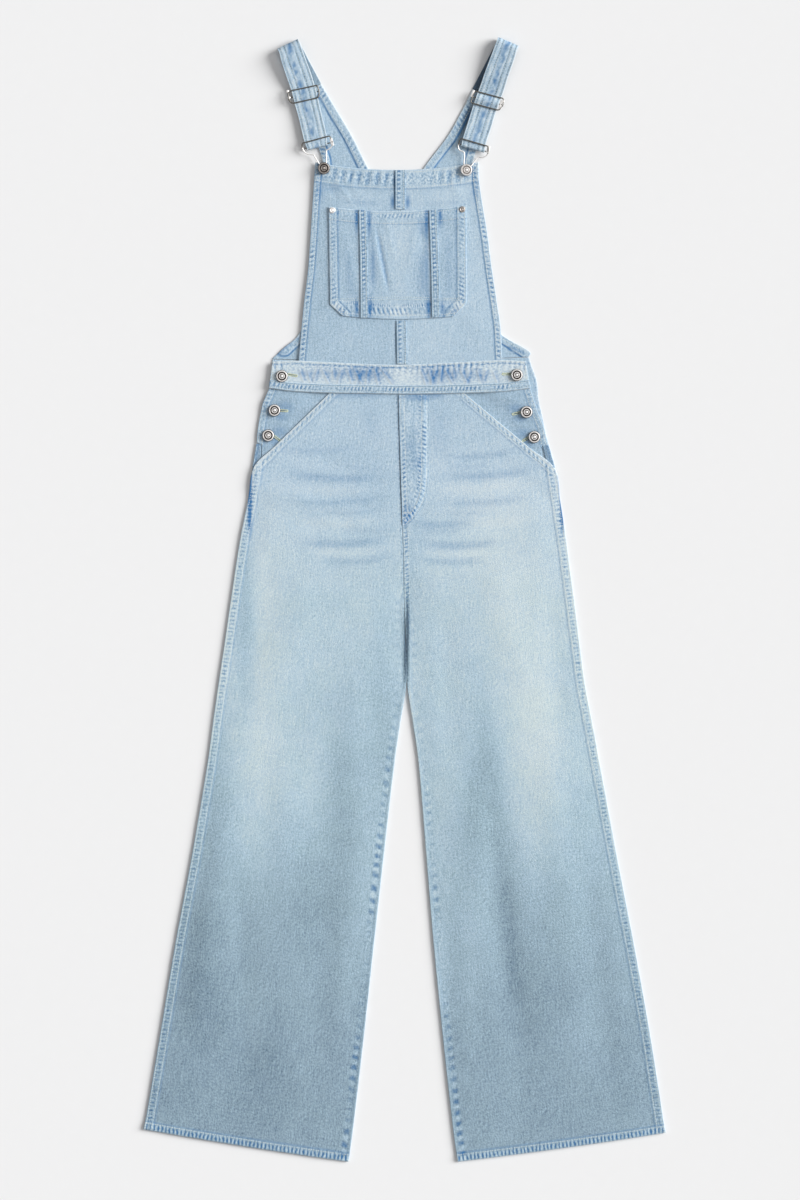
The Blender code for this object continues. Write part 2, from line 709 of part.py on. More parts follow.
def make_bib():
    look = cloth_material("denim_bib", DENIM)
    for side in ("left", "right"):
        cloth_panel(f"bib_{side}", bib_half(side == "left"), even_shares(BIB_COLUMNS), bib_underside,
                    look, rise=bib_rise, step=BIB_STEP)
    cloth_panel("bib_pocket", POCKET, even_shares(POCKET_COLUMNS), on_bib,
                cloth_material("denim_pocket", DENIM), step=POCKET_STEP)
    strip_look = cloth_material("denim_strip", DENIM_PALE)
    strips = (
        ("pocket_strip_left", POCKET_STRIP_LEFT, on_pocket),
        ("pocket_strip_right", POCKET_STRIP_RIGHT, on_pocket),
        ("bib_seam_top", BIB_SEAM_TOP, on_bib),
        ("bib_seam_bottom", BIB_SEAM_BOTTOM, on_bib),
    )
    for name, rows, underside in strips:
        cloth_panel(name, rows, even_shares(1), underside, strip_look, wall=BINDING,
                    step=STRIP_STEP)


def strap_path(strap):
    """Centre sections of a strap from the back panel, over the fold and round the buckle bar."""
    path = []

    def add(left, right, z):
        path.append((Vector((left[0], left[1], z)), Vector((right[0], right[1], z))))

    def turn(line, radius, height, start, end, steps, upward):
        """A turn about a line at the given height; upward is +1 at the fold, -1 at the buckle."""
        left, right = Vector((line.lx, line.ly)), Vector((line.rx, line.ry))
        width = (right - left).normalized()
        out = Vector((-width.y, width.x)) * upward
        outer = radius + 0.5 * STRAP_WALL
        for index in range(steps + 1):
            angle = math.radians(start + (end - start) * index / steps)
            move = out * (radius * math.cos(angle) - outer)
            add(left + move, right + move, height + radius * math.sin(angle))

    back = strap.back
    add((back.lx, back.ly), (back.rx, back.ry), back.z)
    turn(strap.fold, STRAP_LIFT, 0.5 * STRAP_WALL + STRAP_LIFT, -90.0, 90.0, FOLD_STEPS, 1.0)
    for row in strap.front:
        add((row.lx, row.ly), (row.rx, row.ry), row.z)
    turn(strap.wrap, WRAP_RADIUS, BUCKLE_BAR_HEIGHT, 90.0, -90.0, WRAP_STEPS, -1.0)
    tail = [row for row in strap.front[::-1] if row.ly > strap.wrap.ly]
    for row in tail[:2]:
        add((row.lx, row.ly), (row.rx, row.ry), TAIL_HEIGHT)
    last = tail[2]
    add((last.lx, last.ly), (last.rx, last.ry), TAIL_END_HEIGHT)
    return path


def refine_path(path, step):
    """The path with more sections on a smooth curve through the given ones."""
    made = []
    count = len(path)
    for index in range(count - 1):
        before = path[max(index - 1, 0)]
        first, second = path[index], path[index + 1]
        after = path[min(index + 2, count - 1)]
        pieces = max(1, round((second[0] - first[0]).length / step))
        for piece in range(pieces):
            t = piece / pieces
            section = []
            for side in (0, 1):
                p0, p1, p2, p3 = before[side], first[side], second[side], after[side]
                if pieces == 1:
                    section.append(p1.copy())
                    continue
                slope_in = (p2 - p0) * ((p2 - p1).length / max((p2 - p0).length, 1e-6))
                slope_out = (p3 - p1) * ((p2 - p1).length / max((p3 - p1).length, 1e-6))
                a = 2 * t ** 3 - 3 * t ** 2 + 1
                b = t ** 3 - 2 * t ** 2 + t
                c = -2 * t ** 3 + 3 * t ** 2
                d = t ** 3 - t ** 2
                section.append(p1 * a + slope_in * b + p2 * c + slope_out * d)
            made.append(tuple(section))
    made.append(path[-1])
    return made


def make_strap(name, strap, look):
    sections = refine_path(strap_path(strap), STRAP_STEP)
    body = bmesh.new()
    rings = []
    for index, (left, right) in enumerate(sections):
        before = sections[max(index - 1, 0)]
        after = sections[min(index + 1, len(sections) - 1)]
        tangent = (after[0] + after[1]) - (before[0] + before[1])
        normal = tangent.cross(right - left).normalized() * (0.5 * STRAP_WALL)
        rings.append([body.verts.new(p) for p in
                      (left + normal, right + normal, right - normal, left - normal)])
    for near, far in zip(rings, rings[1:]):
        for side in range(4):
            following = (side + 1) % 4
            body.faces.new((near[side], near[following], far[following], far[side]))
    body.faces.new(rings[0])
    body.faces.new(rings[-1])
    return add_object(name, body, look)


def wire_body(points, radius, closed):
    """A round wire through the points; a closed one runs back to its start."""
    body = bmesh.new()
    places = [Vector(point) for point in points]
    count = len(places)
    rings = []
    side = None
    for index, place in enumerate(places):
        if closed:
            before, after = places[index - 1], places[(index + 1) % count]
        else:
            before, after = places[max(index - 1, 0)], places[min(index + 1, count - 1)]
        incoming = (place - before).normalized() if place != before else (after - place).normalized()
        outgoing = (after - place).normalized() if place != after else incoming
        tangent = (incoming + outgoing).normalized()
        up = Vector((0.0, 0.0, 1.0))
        side = tangent.cross(up).normalized()
        lift = side.cross(tangent).normalized()
        # the ring is widened across the bend so that the wire keeps its thickness there
        widen = 1.0 / max(0.5, incoming.dot(tangent))
        bend = (outgoing - incoming)
        ring = []
        for step in range(WIRE_SIDES):
            angle = math.tau * (step + 0.5) / WIRE_SIDES
            offset = side * (radius * math.cos(angle)) + lift * (radius * math.sin(angle))
            if bend.length > 1e-6:
                across = bend.normalized()
                offset += across * offset.dot(across) * (widen - 1.0)
            ring.append(body.verts.new(place + offset))
        rings.append(ring)
    pairs = list(zip(rings, rings[1:]))
    if closed:
        pairs.append((rings[-1], rings[0]))
    for near, far in pairs:
        for step in range(WIRE_SIDES):
            following = (step + 1) % WIRE_SIDES
            body.faces.new((near[step], near[following], far[following], far[step]))
    if not closed:
        body.faces.new(rings[0])
        body.faces.new(rings[-1])
    return body


def round_corners(points, radius, steps, closed):
    """The path with each corner replaced by a short curve."""
    places = [Vector(point) for point in points]
    count = len(places)
    made = []
    for index, place in enumerate(places):
        if not closed and index in (0, count - 1):
            made.append(place)
            continue
        before, after = places[index - 1], places[(index + 1) % count]
        cut_in = min(radius, 0.4 * (before - place).length)
        cut_out = min(radius, 0.4 * (after - place).length)
        start = place + (before - place).normalized() * cut_in
        end = place + (after - place).normalized() * cut_out
        for step in range(steps + 1):
            t = step / steps
            made.append(start * (1 - t) ** 2 + place * (2 * t * (1 - t)) + end * t ** 2)
    return made


def make_joined_wire(name, loop, bar, look):
    """A closed wire with a thinner bar across it, joined into one body."""
    frame = add_object(name, wire_body(loop, WIRE, True), look)
    cutter = add_object(name + "_bar", wire_body(bar, BAR, False), look)
    cutter.hide_render = True
    cutter.display_type = "WIRE"
    join = frame.modifiers.new("bar", "BOOLEAN")
    join.operation = "UNION"
    join.solver = "EXACT"
    join.object = cutter
    return frame


def hook_loop(button):
    """The turn of wire round a button's shank."""
    made = []
    for index in range(HOOK_STEPS + 1):
        angle = math.radians(HOOK_START + (HOOK_END - HOOK_START) * index / HOOK_STEPS)
        made.append((button[0] + HOOK_RADIUS * math.cos(angle),
                     button[1] + HOOK_RADIUS * math.sin(angle), HOOK_HEIGHT))
    return made


def make_hardware():
    silver = metal_material("silver_metal", SILVER)
    sliders = (("left", LEFT_SLIDER, LEFT_SLIDER_BAR), ("right", RIGHT_SLIDER, RIGHT_SLIDER_BAR))
    for side, loop, bar in sliders:
        make_joined_wire(f"slider_{side}", round_corners(loop, SLIDER_BEND, BEND_STEPS, True), bar, silver)
    buckles = (("left", LEFT_BUCKLE, LEFT_BUCKLE_BAR), ("right", RIGHT_BUCKLE, RIGHT_BUCKLE_BAR))
    for side, frame, bar in buckles:
        loop = round_corners(frame, BUCKLE_BEND, BEND_STEPS, False) + hook_loop(BIB_BUTTONS[side])
        make_joined_wire(f"buckle_{side}", loop, bar, silver)


def turned(name, profile, place, height, look, segments):
    """A round piece turned from a profile of radius and height pairs."""
    body = bmesh.new()
    rings = []
    for radius, z in profile:
        ring = []
        for step in range(segments):
            angle = math.tau * step / segments
            ring.append(body.verts.new((place[0] + radius * math.cos(angle),
                                        place[1] + radius * math.sin(angle), height + z)))
        rings.append(ring)
    for near, far in zip(rings, rings[1:]):
        for step in range(segments):
            following = (step + 1) % segments
            body.faces.new((near[step], near[following], far[following], far[step]))
    body.faces.new(rings[0])
    body.faces.new(rings[-1])
    return add_object(name, body, look, sharp_angle=TURNED_ANGLE)


def button_profile(shank):
    """Radius and height from the cloth up: shank, rim, sunk ring and a raised middle."""
    top = shank + BUTTON_HEIGHT
    return [
        (SHANK_RADIUS, 0.0),
        (SHANK_RADIUS, shank),
        (0.86 * BUTTON_RADIUS, shank),
        (BUTTON_RADIUS, shank + 0.3 * BUTTON_HEIGHT),
        (0.88 * BUTTON_RADIUS, top),
        (0.66 * BUTTON_RADIUS, top - 0.3 * BUTTON_HEIGHT),
        (0.42 * BUTTON_RADIUS, top - 0.25 * BUTTON_HEIGHT),
        (0.22 * BUTTON_RADIUS, top + 0.1 * BUTTON_HEIGHT),
    ]


def highest_under(surface, place, radius):
    """The highest that a surface reaches below a round piece."""
    quarter = 0.5 * math.pi
    around = [(place[0] + radius * math.cos(index * quarter), place[1] + radius * math.sin(index * quarter))
              for index in range(4)]
    return max(surface(*spot) for spot in around)


def make_buttons(hip_surfaces):
    bright = metal_material("button_metal", SILVER)
    on_hem = BIB_BASE + CLOTH + HEM_RISE + GAP
    bib_shank = HOOK_HEIGHT + WIRE + GAP - on_hem
    for side, place in BIB_BUTTONS.items():
        turned(f"bib_button_{side}", button_profile(bib_shank), place, on_hem, bright, BUTTON_SEGMENTS)
    for name, place in SIDE_BUTTONS.items():
        side = name.split("_")[0]
        if name.endswith("top"):
            height = on_band(*place)
        else:
            height = highest_under(hip_surfaces[side], place, SHANK_RADIUS) + CLOTH + GAP
        turned(f"side_button_{name}", button_profile(SIDE_SHANK), place, height, bright, BUTTON_SEGMENTS)


def make_rivets():
    looks = {
        "left": metal_material("rivet_silver", SILVER),
        "right": metal_material("rivet_pewter", PEWTER),
    }
    profile = [
        (RIVET_RADIUS, 0.0),
        (RIVET_RADIUS, 0.5 * RIVET_HEIGHT),
        (0.8 * RIVET_RADIUS, 0.9 * RIVET_HEIGHT),
        (0.45 * RIVET_RADIUS, 0.8 * RIVET_HEIGHT),
        (0.2 * RIVET_RADIUS, RIVET_HEIGHT),
    ]
    for side, place in RIVETS.items():
        height = highest_under(on_pocket, place, RIVET_RADIUS)
        turned(f"rivet_{side}", profile, place, height, looks[side], RIVET_SEGMENTS)


def make_straps():
    look = cloth_material("denim_strap", DENIM_PALE)
    make_strap("strap_left", LEFT_STRAP, look)
    make_strap("strap_right", RIGHT_STRAP, look)


def main():
    clear_scene()
    make_back()
    leg_surfaces = make_front_legs()
    hip_surfaces = make_hips()
    make_fly(leg_surfaces["right"])
    make_waistband()
    make_bib()
    make_straps()
    make_hardware()
    make_buttons(hip_surfaces)
    make_rivets()


main()
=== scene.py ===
import math

import bmesh
import bpy
import numpy as np
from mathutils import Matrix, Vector


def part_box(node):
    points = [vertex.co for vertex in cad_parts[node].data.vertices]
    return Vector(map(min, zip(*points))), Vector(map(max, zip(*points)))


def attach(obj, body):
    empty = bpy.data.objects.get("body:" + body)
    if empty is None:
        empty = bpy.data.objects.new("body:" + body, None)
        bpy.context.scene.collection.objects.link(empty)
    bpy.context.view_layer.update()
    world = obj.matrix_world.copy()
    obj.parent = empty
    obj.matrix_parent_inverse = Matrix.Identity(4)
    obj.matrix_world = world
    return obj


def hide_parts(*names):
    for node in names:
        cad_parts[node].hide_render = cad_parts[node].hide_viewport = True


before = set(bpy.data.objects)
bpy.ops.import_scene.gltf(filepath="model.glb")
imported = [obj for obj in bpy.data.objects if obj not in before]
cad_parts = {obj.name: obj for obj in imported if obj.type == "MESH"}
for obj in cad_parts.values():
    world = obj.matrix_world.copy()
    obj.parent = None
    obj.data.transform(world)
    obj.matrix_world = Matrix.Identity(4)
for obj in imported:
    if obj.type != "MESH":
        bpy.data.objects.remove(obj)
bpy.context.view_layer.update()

mm = 0.001
print("frame loaded with", len(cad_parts), "nodes")

# Lines and soft shapes


def table(*rows):  # sections as ax, ay, bx, by and the dip of the middle, in mm
    return np.array([row if len(row) == 5 else (*row, 0.0) for row in rows], float)


def edgeA(rows):
    return rows[:, 0:2]


def edgeB(rows):
    return rows[:, 2:4]


def crossLine(row, count=9):  # one section as a line of points
    t = np.linspace(0.0, 1.0, count)
    return np.stack([row[0] + (row[2] - row[0]) * t,
                     row[1] + (row[3] - row[1]) * t - row[4] * 4 * t * (1 - t)], axis=1)


def ease(low, high, value):
    t = np.clip((value - low) / (high - low), 0.0, 1.0)
    return t * t * (3 - 2 * t)


def toLine(x, y, points):  # distance to a line of points, and the place along it
    best = np.full(np.shape(x), 1e9)
    along = np.zeros(np.shape(x))
    start = 0.0
    for (x0, y0), (x1, y1) in zip(points, points[1:]):
        dx, dy = x1 - x0, y1 - y0
        length = math.hypot(dx, dy)
        t = np.clip(((x - x0) * dx + (y - y0) * dy) / length ** 2, 0.0, 1.0)
        distance = np.hypot(x - x0 - t * dx, y - y0 - t * dy)
        near = distance < best
        best = np.where(near, distance, best)
        along = np.where(near, start + t * length, along)
        start += length
    return best, along


def softNoise(x, y, size, seed):  # smooth noise from -1 to 1
    lattice = np.random.RandomState(seed).rand(64, 64) * 2 - 1
    gx, gy = x / size, y / size
    ix, iy = np.floor(gx).astype(int), np.floor(gy).astype(int)
    tx, ty = gx - ix, gy - iy
    tx, ty = tx * tx * (3 - 2 * tx), ty * ty * (3 - 2 * ty)
    low = lattice[ix % 64, iy % 64] * (1 - tx) + lattice[(ix + 1) % 64, iy % 64] * tx
    high = lattice[ix % 64, (iy + 1) % 64] * (1 - tx) + lattice[(ix + 1) % 64, (iy + 1) % 64] * tx
    return low * (1 - ty) + high * ty


def foldHeight(x, y, folds):  # soft folds, each fading out towards its ends
    total = np.zeros(np.shape(x))
    for x0, y0, x1, y1, width, height in folds:
        dx, dy = x1 - x0, y1 - y0
        length = math.hypot(dx, dy)
        along = ((x - x0) * dx + (y - y0) * dy) / length
        across = ((x - x0) * dy - (y - y0) * dx) / length
        fade = ease(0.0, 0.3 * length, along) * ease(length, 0.7 * length, along)
        total += height * fade * np.exp(-(across / width) ** 2)
    return total


def streaks(x, y, lines):  # curved soft marks: two ends, sag, half width and strength
    total = np.zeros(np.shape(x))
    for x0, y0, x1, y1, sag, width, strength in lines:
        t = np.linspace(0.0, 1.0, 7)
        line = np.stack([x0 + (x1 - x0) * t, y0 + (y1 - y0) * t - sag * 4 * t * (1 - t)], axis=1)
        distance, along = toLine(x, y, line)
        length = math.hypot(x1 - x0, y1 - y0)
        fade = ease(0.0, 0.35 * length, along) * ease(length, 0.65 * length, along)
        total += strength * fade * np.exp(-(distance / width) ** 2)
    return total


def seen(x, y):  # a place as seen from above, 1.4 mm to the unit, in mm on the garment
    return (x - 404.5) * 1.4, (599.5 - y) * 1.4


def marks(places, *rest):  # lines given as seen from above, each with the same sizes behind it
    return [(*seen(x0, y0), *seen(x1, y1), *rest) for x0, y0, x1, y1 in places]


def blobs(x, y, places):  # soft oval patches: place, reach across and along, strength
    total = np.zeros(np.shape(x))
    for px, py, rx, ry, strength in places:
        total += strength * np.exp(-((x - px) / rx) ** 2 - ((y - py) / ry) ** 2)
    return total


def between(p0, p1, p2, p3, t, smooth):  # a point on the way from p1 to p2
    if not smooth:
        return p1 + (p2 - p1) * t
    step = np.linalg.norm(p2 - p1)
    into = (p2 - p0) * (step / max(np.linalg.norm(p2 - p0), 1e-6))
    out = (p3 - p1) * (step / max(np.linalg.norm(p3 - p1), 1e-6))
    return (p1 * (2 * t ** 3 - 3 * t ** 2 + 1) + into * (t ** 3 - 2 * t ** 2 + t)
            + p2 * (3 * t ** 2 - 2 * t ** 3) + out * (t ** 3 - t ** 2))


def moreSections(rows, step, smooth):
    made = []
    last = len(rows) - 2
    for index in range(len(rows) - 1):
        p1, p2 = rows[index], rows[index + 1]
        p0, p3 = rows[max(index - 1, 0)], rows[min(index + 2, len(rows) - 1)]
        reach = max(math.hypot(*(p2 - p1)[:2]), math.hypot(*(p2 - p1)[2:4]))
        count = max(1, math.ceil(reach / step))
        shares = [k / count for k in range(count)]
        if index == 0:
            shares += [0.15 / reach, 0.5 / reach]
        if index == last:
            shares += [1 - 0.5 / reach, 1 - 0.15 / reach]
        made += [between(p0, p1, p2, p3, t, smooth) for t in sorted(shares)]
    made.append(rows[-1])
    return np.array(made)


# The garment's sections, in mm
gap = 0.3
cloth = 1.2
crotchY = 3.5
bibCentre = -6.0

leftLeg = table(
    (-219.0, 139.3, -3.3, 100.1), (-230.3, 83.3, -1.9, 52.5), (-241.5, 10.5, -0.9, crotchY),
    (-251.3, -56.7, 0.0, -56.7), (-259.7, -112.7, 2.1, -115.5), (-268.1, -171.5, -5.6, -171.5),
    (-275.1, -224.7, -13.3, -224.7), (-297.5, -357.7, -28.7, -357.7), (-319.9, -476.7, -42.7, -483.7),
    (-342.3, -609.7, -58.1, -623.7), (-360.5, -717.5, -72.1, -742.7), (-362.9, -729.8, -76.4, -774.6, 1.5),
    (-365.4, -741.3, -78.4, -786.8, 1.5))
rightLeg = table(
    (217.7, 139.3, -3.3, 100.1), (226.1, 83.3, -1.9, 52.5), (235.9, 10.5, -0.9, crotchY),
    (244.3, -56.7, 4.2, -56.7), (252.0, -115.5, 5.6, -115.5), (262.5, -171.5, 11.2, -171.5),
    (272.3, -224.7, 18.9, -224.7), (296.8, -357.7, 30.1, -357.7), (319.9, -476.7, 40.6, -483.7),
    (343.7, -609.7, 54.6, -623.7), (361.2, -721.7, 67.9, -742.7), (363.2, -734.5, 72.3, -774.6, 1.5),
    (365.4, -746.2, 74.2, -786.8, 1.5))
leftSlant = table((-96.0, 298.0, -9.0, 298.0), (-124.0, 270.4, -8.6, 259.7), (-153.5, 241.8, -7.2, 217.7),
                  (-184.0, 212.2, -5.8, 175.7), (-211.0, 185.0, -4.4, 135.1))
rightSlant = table((73.0, 298.0, -9.0, 298.0), (108.5, 268.1, -8.6, 259.7), (139.3, 242.3, -7.2, 217.7),
                   (174.3, 213.0, -5.8, 175.7), (210.7, 182.5, -4.4, 135.1))
leftBackHip = table((-184.9, 336.0, -8.0, 331.0), (-188.7, 294.0, -9.0, 286.3), (-199.0, 264.6, -8.2, 251.3),
                    (-205.0, 220.5, -7.0, 214.9), (-212.8, 184.1, -5.6, 175.7))
rightBackHip = table((174.0, 339.0, -8.0, 331.0), (178.1, 325.8, -8.2, 318.0), (184.8, 305.8, -8.8, 298.0),
                     (187.5, 280.3, -8.6, 272.0), (191.6, 261.5, -8.2, 251.3), (198.4, 229.3, -7.0, 214.9),
                     (211.2, 183.0, -5.6, 175.7))
leftBack = table((-185.5, 336.6, -8.0, 331.6), (-168.7, 352.5, -8.0, 356.3), (-149.1, 370.0, -8.0, 391.3),
                 (-130.9, 412.3, -8.0, 433.3), (-118.3, 472.5, -8.0, 482.3), (-111.3, 528.5, -8.0, 528.5),
                 (-111.5, 573.3, -32.9, 573.3), (-115.5, 615.0, -53.0, 608.0), (-126.0, 646.1, -73.5, 648.6),
                 (-137.2, 679.0, -95.0, 685.0), (-145.8, 706.6, -116.7, 722.0))
rightBack = table((173.8, 339.7, -8.0, 331.6), (174.4, 347.1, -8.0, 356.3), (133.0, 373.7, -8.0, 391.3),
                  (114.5, 412.3, -8.0, 433.3), (101.5, 472.5, -8.0, 482.3), (94.5, 528.5, -8.0, 528.5),
                  (93.5, 573.3, 8.0, 573.3), (95.5, 610.0, 29.5, 608.0), (106.0, 646.1, 60.0, 648.6),
                  (115.5, 675.0, 80.0, 684.0), (124.8, 700.4, 95.0, 714.3))
necklineRow = 5
leftHip = table((-188.9, 303.1, -87.5, 303.1), (-189.9, 294.0, -97.0, 289.1), (-198.8, 273.7, -125.3, 258.0),
                (-204.0, 248.0, -150.5, 231.0), (-206.4, 230.3, -168.0, 214.0), (-206.8, 219.8, -180.0, 209.5),
                (-199.7, 216.6, -180.4, 208.2), (-199.7, 200.0, -190.5, 193.2))
rightHip = table((175.2, 303.1, 63.0, 303.1), (176.7, 293.6, 74.0, 289.0), (186.1, 264.2, 102.0, 262.0),
                 (194.7, 242.8, 133.0, 236.0), (198.0, 229.0, 154.0, 216.0), (199.4, 218.9, 168.0, 209.0),
                 (191.8, 215.6, 168.5, 207.8), (191.4, 201.0, 182.0, 194.0))
leftPlacket = table((-207.5, 218.4, -200.6, 216.8), (-212.9, 184.5, -200.9, 184.5))
rightPlacket = table((201.2, 216.6, 193.0, 215.4), (210.7, 184.8, 200.5, 184.5))
waistband = table((-184.8, 332.8, -189.8, 295.5), (-156.1, 334.2, -158.9, 291.2), (-105.0, 332.0, -105.8, 288.6),
                  (-55.7, 329.6, -56.7, 288.0), (-8.5, 328.3, -8.5, 287.0), (50.4, 330.6, 51.1, 287.6),
                  (133.0, 335.0, 137.9, 290.6), (169.6, 333.4, 176.0, 295.4))
bib = table((-124.7, 611.6, 103.6, 612.0, 10.8), (-126.9, 583.1, 104.9, 581.7, 8.0),
            (-131.1, 517.3, 116.2, 510.0, 4.0), (-135.1, 461.3, 122.5, 461.3, 1.0),
            (-140.7, 416.0, 129.4, 416.0), (-144.0, 382.0, 134.2, 382.0),
            (-147.7, 340.0, 136.4, 340.0), (-148.6, 323.0, 137.0, 323.0))
pocket = table((-106.4, 549.5, 86.1, 551.6, 7.5), (-105.6, 500.0, 86.3, 500.0, 4.0),
               (-104.9, 455.0, 86.6, 455.0, 2.0), (-104.3, 413.3, 86.8, 415.1, 2.0),
               (-96.0, 405.2, 78.0, 405.7, 3.0), (-87.5, 396.9, 69.3, 396.2, 4.5))
pocketStripLeft = table((-64.1, 545.3, -53.5, 543.9), (-62.4, 470.0, -51.8, 470.0), (-61.6, 394.0, -51.0, 394.0))
pocketStripRight = table((34.0, 544.4, 45.2, 545.6), (36.6, 470.0, 47.8, 470.0), (38.2, 394.4, 49.4, 394.6))
bibSeamTop = table((-13.3, 600.7, 1.0, 600.8), (-13.0, 545.8, 1.3, 545.8))
bibSeamBottom = table((-11.6, 389.8, 2.6, 390.0), (-10.9, 329.4, 3.4, 329.4))
fly = table((-8.5, 286.4, 34.4, 286.9), (-6.8, 217.0, 34.4, 217.0), (-5.5, 175.0, 34.0, 175.0),
            (-4.7, 150.0, 32.5, 153.0), (-4.2, 135.0, 27.5, 135.0), (-3.7, 120.0, 19.0, 119.5),
            (-3.3, 109.0, 8.5, 108.0), (-3.1, 104.0, 2.0, 103.5))

legFolds = [(-222.0, -330.0, -224.0, -720.0, 19.0, -1.3), (-262.0, -260.0, -292.0, -640.0, 22.0, 1.2),
            (-165.0, -180.0, -168.0, -560.0, 24.0, 1.1), (-108.0, -330.0, -122.0, -700.0, 22.0, -1.0),
            (-60.0, -60.0, -96.0, -330.0, 22.0, 1.0), (-120.0, 60.0, -200.0, -180.0, 26.0, 0.9),
            (-190.0, 80.0, -228.0, -170.0, 20.0, -0.8), (122.0, -200.0, 176.0, -760.0, 20.0, -1.3),
            (80.0, -200.0, 120.0, -640.0, 22.0, 1.1), (190.0, -150.0, 236.0, -520.0, 26.0, 1.1),
            (250.0, -330.0, 292.0, -720.0, 20.0, -1.1), (52.0, 20.0, 66.0, -260.0, 20.0, -0.9),
            (120.0, 80.0, 170.0, -160.0, 28.0, 0.9), (200.0, 60.0, 228.0, -220.0, 18.0, -0.8),
            (-190.0, 150.0, -40.0, 118.0, 9.0, 0.45), (-170.0, 105.0, -30.0, 92.0, 8.0, -0.4),
            (20.0, 118.0, 180.0, 152.0, 9.0, 0.45), (30.0, 92.0, 165.0, 108.0, 8.0, -0.4)]


# Heights of the undersides, as the solids have them

def legUnder(slant, leg):
    outer, inner, pocketEdge = edgeA(leg), edgeB(leg[leg[:, 3] <= crotchY]), edgeA(slant)

    def under(x, y):
        fromEdge = np.minimum(toLine(x, y, outer)[0], toLine(x, y, inner)[0])
        soft = 1.3 * (1 - 0.6 * ease(-690.0, -770.0, y)) + foldHeight(x, y, legFolds)
        held = np.maximum(1 - ease(15.0, 46.0, toLine(x, y, pocketEdge)[0]), ease(240.0, 278.0, y))
        return 1.5 + 1.5 * held + np.maximum(0.0, soft * ease(0.0, 46.0, fromEdge) * (1 - held))
    return under


def hipUnder(slant):
    def under(x, y):
        return 1.5 + 1.5 * ease(10.0, 30.0, toLine(x, y, edgeA(slant))[0]) * ease(250.0, 288.0, y)
    return under


def bibUnder(x, y):
    fromSide = np.minimum(toLine(x, y, edgeA(bib))[0], toLine(x, y, edgeB(bib))[0])
    puff = 0.7 * ease(0.0, 40.0, fromSide) * ease(612.0, 560.0, y) * ease(330.0, 370.0, y)
    return 2.3 + 0.7 * ease(362.0, 338.0, y) + puff


def bibRise(x, y):
    return 0.8 * (1 - ease(20.0, 34.0, toLine(x, y, crossLine(bib[0]))[0]))


def onBib(x, y):
    return bibUnder(x, y) + cloth + bibRise(x, y) + gap


def onPocket(x, y):
    return onBib(x, y) + cloth + gap


def level(height):
    return lambda x, y: np.full(np.shape(x), float(height))


# Materials

light = 1.11  # how much brighter than a plain white card the surface under the camera is lit


def washed(red, green, blue):  # a colour as seen in this light, as a linear surface colour
    seen = [v / 255.0 for v in (red, green, blue)]
    return tuple(((v + 0.055) / 1.055) ** 2.4 / light for v in seen) + (1.0,)


class Tree:  # a short way to add and join shader nodes
    def __init__(self, name):
        self.material = bpy.data.materials.new(name)
        self.material.use_nodes = True
        self.nodes, self.links = self.material.node_tree.nodes, self.material.node_tree.links
        self.shader = self.nodes["Principled BSDF"]

    def add(self, kind, inputs=None, **settings):
        made = self.nodes.new("ShaderNode" + kind)
        for key, value in settings.items():
            setattr(made, key, value)
        for key, value in (inputs or {}).items():
            if isinstance(value, bpy.types.NodeSocket):
                self.links.new(value, made.inputs[key])
            else:
                made.inputs[key].default_value = value
        return made

    def sum(self, *terms):  # terms are (socket, factor, middle), added up
        total = None
        for socket, factor, middle in terms:
            part = self.add("Math", {0: socket, 1: factor, 2: -middle * factor}, operation="MULTIPLY_ADD").outputs[0]
            if total is not None:
                part = self.add("Math", {0: total, 1: part}, operation="ADD").outputs[0]
            total = part
        return total

    def mapped(self, source, scale=(1, 1, 1), turn=0.0):
        return self.add("Mapping", {"Vector": source, "Scale": scale, "Rotation": (0, 0, turn)}).outputs[0]

    def noise(self, place, scale=1.0, detail=2.0, roughness=0.5):
        return self.add("TexNoise", {"Vector": place, "Scale": scale, "Detail": detail, "Roughness": roughness},
                        noise_dimensions="2D").outputs["Fac"]

    def set(self, **values):
        for key, value in values.items():
            self.shader.inputs[key.replace("_", " ")].default_value = value


denim = {"grain": 0.62, "slub": 0.20, "cloud": 0.05, "seamSpots": 0.5, "bump": 0.8}
denimShades = [(0.0, (84, 102, 120)), (0.08, (109, 133, 153)), (0.24, (138, 160, 177)), (0.44, (160, 183, 199)),
               (0.60, (174, 200, 220)), (0.70, (186, 209, 227)), (0.84, (201, 217, 227)), (1.0, (218, 230, 236))]
deepBlue = (68, 122, 174)


